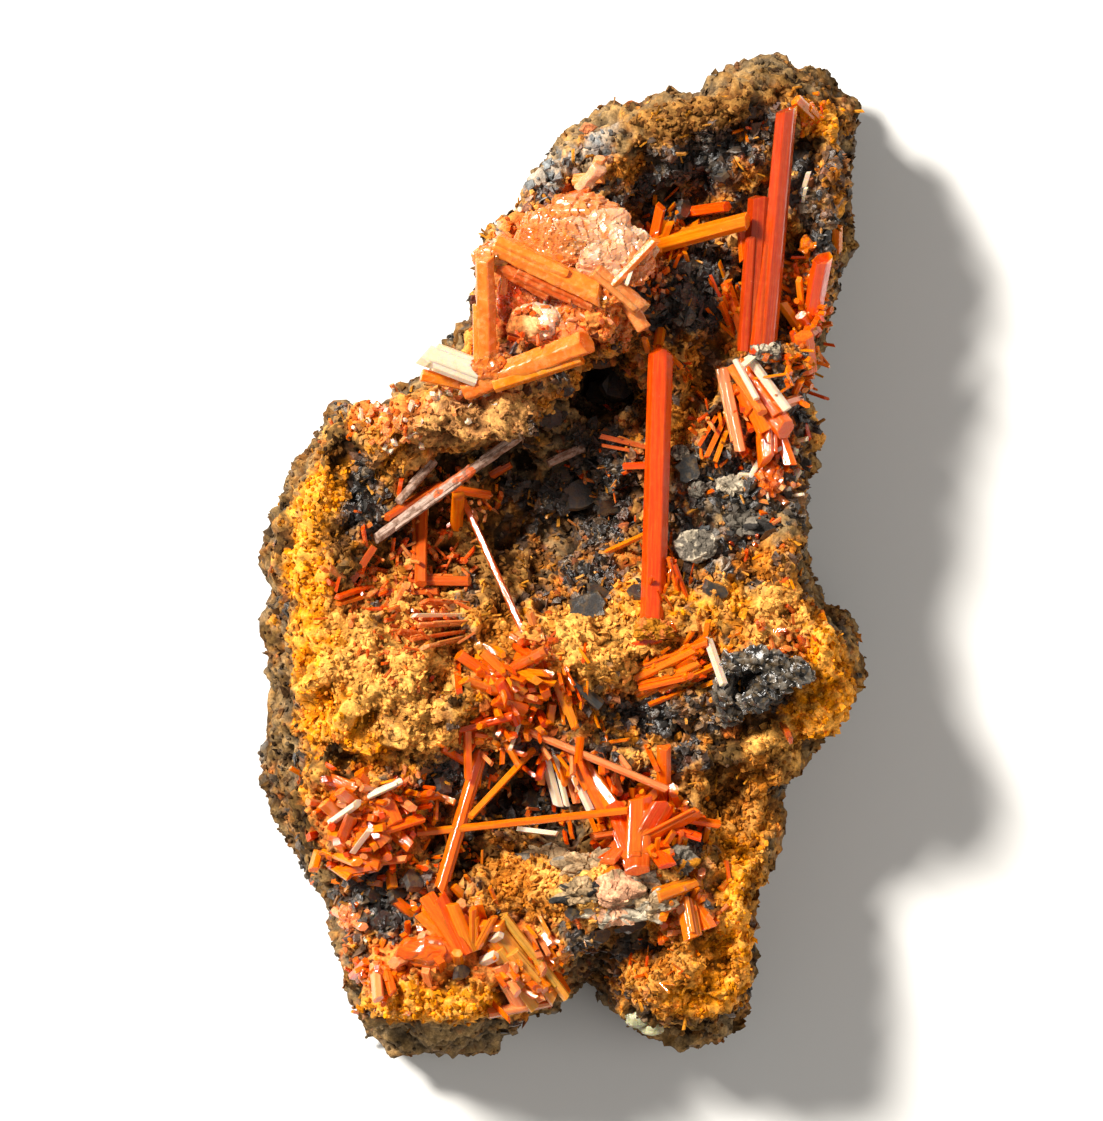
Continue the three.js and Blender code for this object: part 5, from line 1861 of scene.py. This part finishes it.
DRUSES = (
    Druse("lower_druse", (
        Spray((-19.5, -27), (4.6, 5.4), 120, (1.2, 3.0), (0.5, 1.3), tints=WARM),
        Spray((-16, -24), (4, 3), 40, (1.0, 3.0), (0.4, 1.0), tints=WARM),
        Spray((-21, -31), (3, 2.5), 44, (1.0, 2.6), (0.4, 1.1), (330, 390), (40, 80), WARM),
        Spray((-4, -20), (6, 4), 50, (1.5, 4.0), (0.3, 0.8), tints=WARM),
        Spray((2, -22), (4, 4), 60, (1.5, 4.0), (0.4, 1.0), (250, 320), (25, 70), WARM),
        Spray((8.5, -28), (5, 4.4), 90, (1.5, 3.6), (0.6, 1.5), (20, 130), (20, 70)),
        Spray((-12, -30), (4, 3), 30, (1.0, 2.4), (0.3, 0.6)),
    )),
    Druse("foot_druse", (
        Spray((-3.4, -40.8), (3.4, 3.8), 60, (1.5, 3.6), (0.5, 1.2), (290, 330), (40, 75), SUNNY),
        Spray((-11, -37), (4.5, 4), 60, (1.2, 3.0), (0.5, 1.4), (90, 160), (20, 70), SUNNY),
        Spray((-18, -42), (3, 2.6), 54, (0.8, 2.2), (0.4, 1.0), tints=WARM),
        Spray((13, -35.4), (3.4, 3), 50, (1.0, 2.4), (0.5, 1.2), tints=SUNNY),
        Spray((10, -41), (4, 2), 24, (1.0, 2.6), (0.2, 0.4)),
        Spray((-20.5, -36.5), (1.6, 1.6), 24, (0.6, 1.6), (0.3, 0.7), tints=PINKISH),
    )),
    Druse("right_druse", (
        Spray((20, 14.5), (4.2, 5), 70, (1.2, 3.4), (0.4, 1.1), (270, 340), (20, 70), WARM),
        Spray((21.5, 8), (3.4, 3.4), 60, (0.8, 2.4), (0.4, 1.1), tints=PINKISH),
        Spray((16, 12), (3, 4), 30, (1.0, 2.6), (0.3, 0.6)),
        Spray((25, 25), (2.6, 5), 90, (0.8, 2.4), (0.3, 0.8)),
        Spray((24, 19), (2.4, 3), 60, (0.8, 2.4), (0.3, 0.9)),
        Spray((20, 1.5), (3, 3), 20, (0.8, 2.0), (0.2, 0.5)),
        Spray((22.6, -8), (3, 3), 36, (0.8, 2.4), (0.3, 0.7), tints=MUTED),
        Spray((22.4, -17), (0.4, 0.4), 2, (3.0, 3.6), (0.8, 1.1), (290, 300), (20, 30), (Tint.BRICK,)),
    )),
    Druse("tower_druse", (
        Spray((10.5, 31.5), (2.4, 3), 50, (1.2, 3.4), (0.3, 0.8), (20, 130), (20, 70)),
        Spray((17.5, 24), (1.8, 3), 36, (1.2, 3.4), (0.3, 0.7), (60, 140), (25, 70)),
        Spray((25, 44.5), (1.8, 1.8), 34, (0.6, 1.8), (0.3, 0.7)),
        Spray((19, 42.7), (1.2, 0.6), 6, (1.0, 2.2), (0.3, 0.5)),
        Spray((12, 18), (2, 2), 14, (0.8, 1.8), (0.2, 0.5)),
    )),
    Druse("bank_druse", (
        Spray((-6, -12), (4.4, 3.4), 44, (1.6, 4.2), (0.6, 1.5), (270, 360), (30, 75)),
        Spray((12, -11.4), (4, 2.4), 60, (1.4, 3.8), (0.4, 1.0), (10, 60), (30, 75)),
        Spray((0.5, -13), (2.4, 3), 40, (1.2, 3.6), (0.3, 0.6), (260, 310), (30, 70)),
        Spray((-5, -17), (5, 2.4), 40, (1.2, 3.2), (0.4, 1.2)),
        Spray((11, -2.5), (2, 3), 34, (1.2, 3.2), (0.2, 0.5), (70, 130), (30, 70),
              (Tint.RED, Tint.ORANGE)),
        Spray((-2, -8.6), (2.2, 1.8), 30, (0.8, 2.0), (0.4, 0.9), tints=MUTED),
    )),
    Druse("pocket_druse", (
        Spray((-14, 0), (6, 4), 80, (1.0, 3.0), (0.3, 0.7), tints=MUTED),
        Spray((-19, -3.4), (3.4, 2.4), 50, (1.2, 3.2), (0.3, 0.8), (140, 260), (30, 75), MUTED),
        Spray((-9, 6), (3, 2.4), 34, (0.8, 2.2), (0.3, 0.8), tints=WARM),
        Spray((-12.5, -6.5), (4, 2.4), 60, (1.0, 2.8), (0.3, 0.8), (130, 230), (30, 75), MUTED),
        Spray((-16, -10), (5, 3), 40, (0.6, 1.6), (0.2, 0.6), tints=MUTED),
        Spray((5, 7), (4, 5), 44, (0.8, 2.2), (0.2, 0.5), tints=MUTED),
        Spray((-17, 13.4), (3.4, 2.2), 90, (0.6, 1.8), (0.3, 0.9), tints=PINKISH),
        Spray((-10, 15.5), (4, 1.6), 40, (0.6, 1.6), (0.3, 0.8), tints=PINKISH),
    ), "stained_crocoite"),
    Druse("stained_crust", (
        Spray((3, 31), (5.4, 3.4), 60, (0.5, 1.3), (0.4, 1.1), (0, 360), (0, 60), PINKISH),
        Spray((-3, 32.5), (3.4, 2), 30, (0.5, 1.4), (0.4, 1.0), tints=PINKISH),
        Spray((0, 23.5), (4.4, 2.4), 40, (0.5, 1.2), (0.4, 1.0), tints=PINKISH),
        Spray((6, 25), (2.4, 4), 90, (0.5, 1.6), (0.3, 0.9), tints=(Tint.STAINED, Tint.ORANGE, Tint.BRICK)),
        Spray((-4, 25), (3, 4), 50, (0.5, 1.6), (0.3, 0.8), tints=(Tint.BRICK, Tint.BRICK, Tint.RED)),
        Spray((9.5, 28), (1.6, 3), 50, (0.8, 2.0), (0.3, 0.8), tints=(Tint.ORANGE, Tint.PINK)),
    ), "stained_crocoite"),
)


class Bit(Enum):
    """Shapes of the rock's small bits."""

    GRAIN = "angular grain"
    FLAKE = "thin plate"
    SPLINTER = "short needle"


@dataclass
class Crumbs:
    """Grains, plates or splinters that stand on the rock where their mineral shows."""

    name: str
    bit: Bit
    count: int
    size: Span
    likes: dict[Mineral, float]
    standing: float = 0.6
    lightness: Span = (0.75, 1.3)
    tint: Tint | None = None
    lowest: float = 1.0
    seed: int = 3

    def templates(self) -> list[Template]:
        """Make a few different shapes of the bit."""
        makers = {Bit.GRAIN: Template.grain, Bit.FLAKE: Template.flake, Bit.SPLINTER: Template.needle}
        return [makers[self.bit](seed) for seed in range(8)]

    def build(self, rock: Model, shares: np.ndarray, materials: dict[str, Material]) -> Model:
        """Strew the bits and dress them.

        Args:
            rock: the roughened rock.
            shares: the minerals at each of its points.
            materials: the finishes by name.

        Returns:
            The bits' object.
        """
        rng = random.Random(f"{self.name} {self.seed}")
        points = point_array(rock.data)
        wanted = shares @ np.array([self.likes.get(m, 0.0) for m in Mineral])
        upward = np.clip(1.6 * vertex_array(rock.data, "normal")[:, 2] - 0.25, 0.03, 1)
        wanted = np.where(points[:, 2] > self.lowest, wanted * upward, 0)
        picks = rng.choices(range(len(points)), weights=wanted.tolist(), k=self.count)
        colours = MineralMap.paint(shares[picks], np.ones(self.count))
        shine = gloss_of(shares[picks])
        shapes = self.templates()
        gathering = Gathering()
        for row, pick in enumerate(picks):
            normal = rock.data.vertices[pick].normal
            tilt = Vector([rng.gauss(0, self.standing) for _ in range(3)])
            axis = (normal + tilt).normalized()
            turn = UP.rotation_difference(axis) @ Quaternion(UP, rng.uniform(0, math.tau))
            size = rng.uniform(*self.size) * rng.uniform(0.6, 1.0)
            extent = {Bit.GRAIN: (size, size * rng.uniform(0.6, 1), size * rng.uniform(0.6, 1)),
                      Bit.FLAKE: (size, size * rng.uniform(0.6, 1), size),
                      Bit.SPLINTER: (size * 0.22, size * 0.22, size)}[self.bit]
            sunk = {Bit.GRAIN: 0.12, Bit.FLAKE: 0.1, Bit.SPLINTER: -0.15}[self.bit]
            middle = Vector(points[pick]) + normal * size * sunk
            colour = np.array(self.tint.colour) if self.tint else colours[row]
            colour = lighten(colour[None, :], np.array([rng.uniform(*self.lightness)]))[0]
            gathering.add(rng.choice(shapes), extent, turn, middle, colour, shine[row], rng.uniform(0, 90))
        return finish_object(self.name, gathering.mesh(self.name), materials, "gossan")


CRUMBS = (
    Crumbs("ochre_crumbs", Bit.GRAIN, 9000, (0.28, 0.85), {
        Mineral.YELLOW: 1, Mineral.OCHRE: 1, Mineral.CREAM_AND_HIGHLIGHT: 1, Mineral.RUST: 0.7,
        Mineral.TAN: 0.5, Mineral.BROWN: 0.3, Mineral.CORAL: 0.3,
    }, lightness=(0.55, 1.4)),
    Crumbs("dark_grit", Bit.GRAIN, 5000, (0.25, 0.75), {
        Mineral.BLACK: 1, Mineral.UMBER: 0.8, Mineral.BROWN: 0.7, Mineral.DRAB: 0.7, Mineral.GREY: 0.6,
    }, lightness=(0.5, 1.18)),
    Crumbs("black_plates", Bit.FLAKE, 7500, (0.55, 1.6), {
        Mineral.BLACK: 1, Mineral.GREY: 0.3, Mineral.UMBER: 0.15,
    }, standing=0.55, lightness=(0.4, 1.22), lowest=7),
    Crumbs("ochre_plates", Bit.FLAKE, 5000, (0.45, 1.3), {
        Mineral.OCHRE: 1, Mineral.BROWN: 0.6, Mineral.YELLOW: 0.4, Mineral.CREAM_AND_HIGHLIGHT: 0.6, Mineral.TAN: 0.3,
    }, standing=0.55, lightness=(0.5, 1.3)),
    Crumbs("gold_splinters", Bit.SPLINTER, 900, (0.7, 1.9), {
        Mineral.OCHRE: 1, Mineral.BLACK: 0.6, Mineral.BROWN: 0.5,
    }, standing=1, lightness=(0.5, 1.2), tint=Tint.GOLD, lowest=12),
)


@dataclass
class Studio:
    """The pale floor, the soft lights and the camera."""

    floor_half: float = 1.6
    floor_height: float = -0.00005
    lens: float = 300.0
    sensor: float = 36.0
    frame_height: float = 112.1
    aim: Place = (-0.98, -0.74, 19.0)

    def floor(self) -> None:
        """Lay the floor under the flat back."""
        shape = bmesh.new()
        bmesh.ops.create_grid(shape, x_segments=1, y_segments=1, size=self.floor_half)
        bmesh.ops.translate(shape, vec=(0, 0, self.floor_height), verts=shape.verts)
        mesh = mesh_of(shape, "studio_floor")
        mesh.materials.append(FloorFinish().build())
        link_object("studio_floor", mesh)

    def light(self, name: str, place: Place, size: float, watts: float, colour: Place,
              mirrored: bool = True) -> None:
        """Hang a square soft light that faces the specimen.

        Args:
            name: the light's name.
            place: where it hangs, in metres.
            size: its side, in metres.
            watts: its power.
            colour: its linear colour.
            mirrored: whether shiny faces mirror it.
        """
        lamp = bpy.data.lights.new(name, "AREA")
        lamp.size = size
        lamp.energy = watts
        lamp.color = colour
        holder = link_object(name, lamp)
        holder.location = place
        holder.rotation_euler = Vector(place).to_track_quat("Z", "Y").to_euler()
        holder.visible_glossy = mirrored

    def surroundings(self) -> None:
        """Fill the shadows with an even grey light."""
        world = bpy.data.worlds.new("studio_air")
        world.use_nodes = True
        fill(world.node_tree.nodes["Background"], Color=(1.0, 0.97, 0.93, 1), Strength=0.22)
        bpy.context.scene.world = world

    def camera(self) -> None:
        """Set the camera straight above, with the picture's up along +Y."""
        lens = bpy.data.cameras.new("photo_view")
        lens.lens = self.lens
        lens.sensor_width = self.sensor
        eye = link_object("photo_view", lens)
        away = self.frame_height * self.lens / self.sensor
        eye.location = (self.aim[0] * MM, self.aim[1] * MM, (self.aim[2] + away) * MM)
        bpy.context.scene.camera = eye

    def build(self) -> None:
        """Set up the whole studio."""
        self.floor()
        self.light("key", (-0.52, 0.42, 0.66), size=0.18, watts=21.5, colour=(1.0, 0.96, 0.9))
        self.light("fill", (0.7, -0.3, 0.7), size=0.9, watts=3.6, colour=(1.0, 0.98, 0.95), mirrored=False)
        self.surroundings()
        self.camera()
        bpy.context.scene.view_settings.view_transform = "Standard"


def build_materials() -> dict[str, Material]:
    """Build every finish of the specimen.

    Returns:
        The materials by name.
    """
    finishes = (
        EarthFinish("gossan"),
        CrystalFinish("crocoite"),
        CrystalFinish("stained_crocoite", transmission=0.15, lustre=0.16, rough=0.2, dusty=0.35,
                      striation=0.2, streaks=(1.3, 1.3, 0.5),
                      dust=linear("f0a468"), dust_range=(0.45, 0.65), scatter=0.4),
        CrystalFinish("coated_crystal", transmission=0.0, ior=1.6, lustre=0.4, rough=0.45, dusty=0.9,
                      dust=linear("6e4a32"), dust_range=(0.46, 0.6), striation=0.9, scatter=0.0),
        CrystalFinish("oxide_crystal", transmission=0.0, ior=1.9, lustre=0.5, rough=0.3, dusty=0.8,
                      dust=linear("5a4526"), dust_range=(0.48, 0.6), scatter=0.0),
        CrystalFinish("pale_chip", transmission=0.25, ior=1.7, rough=0.3, dusty=0.4,
                      dust=linear("a0a26c"), striation=0.3),
    )
    return {finish.name: finish.build() for finish in finishes}


def main() -> None:
    """Build the specimen piece by piece, then the studio."""
    logging.basicConfig(level=logging.INFO, format="%(name)s: %(message)s")
    noise.seed_set(NOISE_SEED)
    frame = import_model()
    materials = build_materials()
    node = frame["nodes"]["limonite_matrix"]
    frame_ground = Ground.of(node.data)

    minerals = MineralMap(Crest.of(frame_ground))
    rock = Rock(minerals).build(node, materials)
    for growth in GROWTHS:
        growth.build(frame_ground, materials)

    rock_ground = Ground.of(rock.data)
    for druse in DRUSES:
        druse.build(rock_ground, materials)

    shares = minerals.shares(point_array(rock.data))
    for crumbs in CRUMBS:
        crumbs.build(rock, shares, materials)

    Studio().build()


if __name__ == "__main__":
    main()
